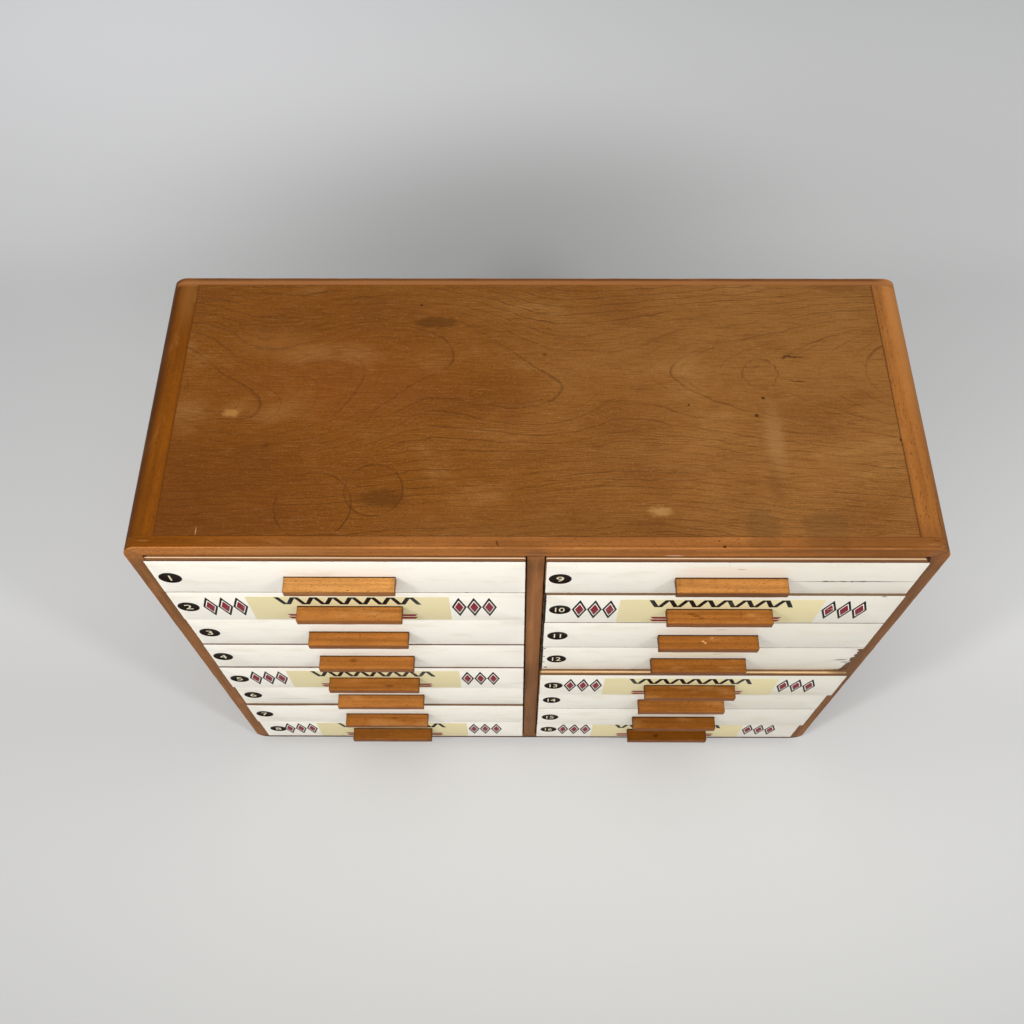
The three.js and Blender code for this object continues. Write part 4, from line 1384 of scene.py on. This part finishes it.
class CABINET_OT_drawers(bpy.types.Operator):
    """Finishes the drawer boxes and lays the white sheets on their fronts"""

    bl_idname = "sewing_cabinet.drawers"
    bl_label = "Drawers"

    def execute(self, context):
        wood = bare_wood(woods())
        handled = plywood("handled_birch_plywood", woods(), 0.3)
        soiled = plywood("soiled_birch_plywood", woods(), 0.75)
        # Kraft paper soaked in resin, the inside of a laminate: a dull brown line on its worn edge
        core = speckled("brown_paper_core", fronts().core, "#3d2715", 1.5, 0.7)
        sheet = [white_laminate(fronts()), core]
        for number in NUMBERS:
            name = drawer_body(number)
            dress(f"{name}_box", wood)
            dress(f"{name}_front", handled if number in SHOWN_EDGES else soiled)
            piece(f"{name}_sheet", [white_sheet(number, fronts().sheet)], sheet, name)
        return {"FINISHED"}


class CABINET_OT_prints(bpy.types.Operator):
    """Makes the printed bands with their stitches, rules and lozenges"""

    bl_idname = "sewing_cabinet.prints"
    bl_label = "Printed bands"

    def execute(self, context):
        white = fronts().white
        inks = [
            printed("pale_yellow_ink", fronts().yellow, white, 0.74),
            printed("black_ink", fronts().black, white, 0.72),
            printed("dark_red_ink", fronts().red, white, 0.72),
            printed("white_ink", white, "#e2d8c2"),
        ]
        for number in PRINTED:
            piece(f"drawer_{number:02d}_print", printed_band(number), inks, drawer_body(number))
        return {"FINISHED"}


class CABINET_OT_numbers(bpy.types.Operator):
    """Makes the number discs and the numerals on them"""

    bl_idname = "sewing_cabinet.numbers"
    bl_label = "Numbers"

    def execute(self, context):
        # Celluloid, turned: a satin black rim round a browner floor, and numbers filled with cream enamel
        rim = speckled("black_celluloid", "#120d0b", "#1c1512", 3, 0.4, Specular_IOR_Level=0.04)
        floor = speckled("brown_black_celluloid", fronts().disc, "#241811", 4, 0.5, Specular_IOR_Level=0.02)
        cream = speckled("cream_enamel", fronts().numeral, "#d8c49a", 2, 0.45)
        for number in NUMBERS:
            body, centre, face = number_disc(number, fronts().disc_diameter)
            piece(f"drawer_{number:02d}_disc", [body], [rim, floor], drawer_body(number))
            numeral(number, centre, face, fronts().numeral_height, cream)
        return {"FINISHED"}


class CABINET_OT_pulls(bpy.types.Operator):
    """Makes the sixteen bar pulls and the screws that hold them"""

    bl_idname = "sewing_cabinet.pulls"
    bl_label = "Pulls"

    def execute(self, context):
        # Steel, cold formed and zinc plated: a dull light grey metal
        steel = speckled("zinc_plated_steel", "#a7a49c", "#7c776c", 2, 0.38, Metallic=1.0)
        for number in NUMBERS:
            name = drawer_body(number)
            made = piece(f"{name}_pull_wood", [pull(number)], [pull_finish()], name,
                         tone=PULL_TONES[number - 1])
            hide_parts(f"{name}_pull")
            low, high = PULL_BOXES[number]
            middle = (low.x + high.x) / 2
            inner = FRONT_BOXES[number][1].y
            heads = [
                screw_head(middle + side * SCREW_PLACE, inner, (low.z + high.z) / 2, SCREW_HEAD)
                for side in (-1, 1)
            ]
            piece(f"{name}_pull_screws", heads, [steel], name)
        return {"FINISHED"}


class CABINET_OT_stage(bpy.types.Operator):
    """Makes the floor, the light and the camera"""

    bl_idname = "sewing_cabinet.stage"
    bl_label = "Stage"

    def execute(self, context):
        stage = context.scene.sewing_cabinet_stage
        side = np.linspace(-FLOOR_REACH, FLOOR_REACH, 2)
        mesh = bpy.data.meshes.new("floor")
        mesh.from_pydata([(x, y, -FLOOR_DROP) for y in side for x in side], [], [(0, 1, 3, 2)])
        mesh.materials.append(floor_paint(stage.floor))
        floor = placed("floor", mesh)

        aim = Matrix.Rotation(LAMPS_TILT, 4, "X") @ Matrix.Rotation(SOFT_LAMP_TURN, 4, "Y")
        lamp = hang_lamp("soft_lamp", "RECTANGLE", SOFT_LAMP_SIZE, stage.lamp_power, SOFT_LAMP_PLACE,
                         aim.to_euler())
        lamp.color = linear("#fffcf8")
        right, ahead, up = SIDE_LAMP_PLACE
        for side in (-1, 1):
            hang_lamp("side_lamp", "DISK", SIDE_LAMP_SIZE, stage.side_lamp_power, (side * right, ahead, up),
                      (LAMPS_TILT, side * SIDE_LAMP_TURN, 0))

        world = bpy.data.worlds.new("even_light")
        world.use_nodes = True
        ground = world.node_tree.nodes["Background"]
        ground.inputs["Color"].default_value = opaque("#f4f6fa")
        ground.inputs["Strength"].default_value = stage.sky
        context.scene.world = world

        view = bpy.data.cameras.new("camera")
        view.lens = stage.lens
        view.sensor_width = 36
        camera = placed("camera", view)
        turns = [Matrix.Rotation(angle, 4, axis)
                 for angle, axis in ((stage.turn, "Z"), (stage.tilt, "X"), (stage.roll, "Z"))]
        camera.rotation_euler = (turns[0] @ turns[1] @ turns[2]).to_euler()
        camera.location = stage.place
        context.scene.camera = camera
        context.scene.view_settings.view_transform = "Standard"
        return {"FINISHED"}


OPERATORS = (
    CABINET_OT_stage,
    CABINET_OT_boards,
    CABINET_OT_edging,
    CABINET_OT_corner_blocks,
    CABINET_OT_drawers,
    CABINET_OT_prints,
    CABINET_OT_numbers,
    CABINET_OT_pulls,
)
GROUPS = {
    "sewing_cabinet_woods": CabinetWoods,
    "sewing_cabinet_fronts": CabinetFronts,
    "sewing_cabinet_stage": CabinetStage,
}


class CABINET_PT_panel(bpy.types.Panel):
    """Lists the cabinet's sizes, colours and operators"""

    bl_label = "Sewing cabinet"
    bl_idname = "CABINET_PT_panel"
    bl_space_type = "VIEW_3D"
    bl_region_type = "UI"
    bl_category = "Sewing cabinet"

    def draw(self, context):
        for name, group in GROUPS.items():
            box = self.layout.box()
            for key in group.__annotations__:
                box.prop(getattr(context.scene, name), key)
        for operator in OPERATORS:
            self.layout.operator(operator.bl_idname)


def register():
    for group in GROUPS.values():
        bpy.utils.register_class(group)
    for name, group in GROUPS.items():
        setattr(bpy.types.Scene, name, bpy.props.PointerProperty(type=group))
    for operator in OPERATORS:
        bpy.utils.register_class(operator)
    bpy.utils.register_class(CABINET_PT_panel)


def unregister():
    bpy.utils.unregister_class(CABINET_PT_panel)
    for operator in reversed(OPERATORS):
        bpy.utils.unregister_class(operator)
    for name in GROUPS:
        delattr(bpy.types.Scene, name)
    for group in GROUPS.values():
        bpy.utils.unregister_class(group)


def main():
    """Makes everything in order."""
    register()
    for operator in OPERATORS:
        section, name = operator.bl_idname.split(".")
        getattr(getattr(bpy.ops, section), name)()


if __name__ == "__main__":
    main()
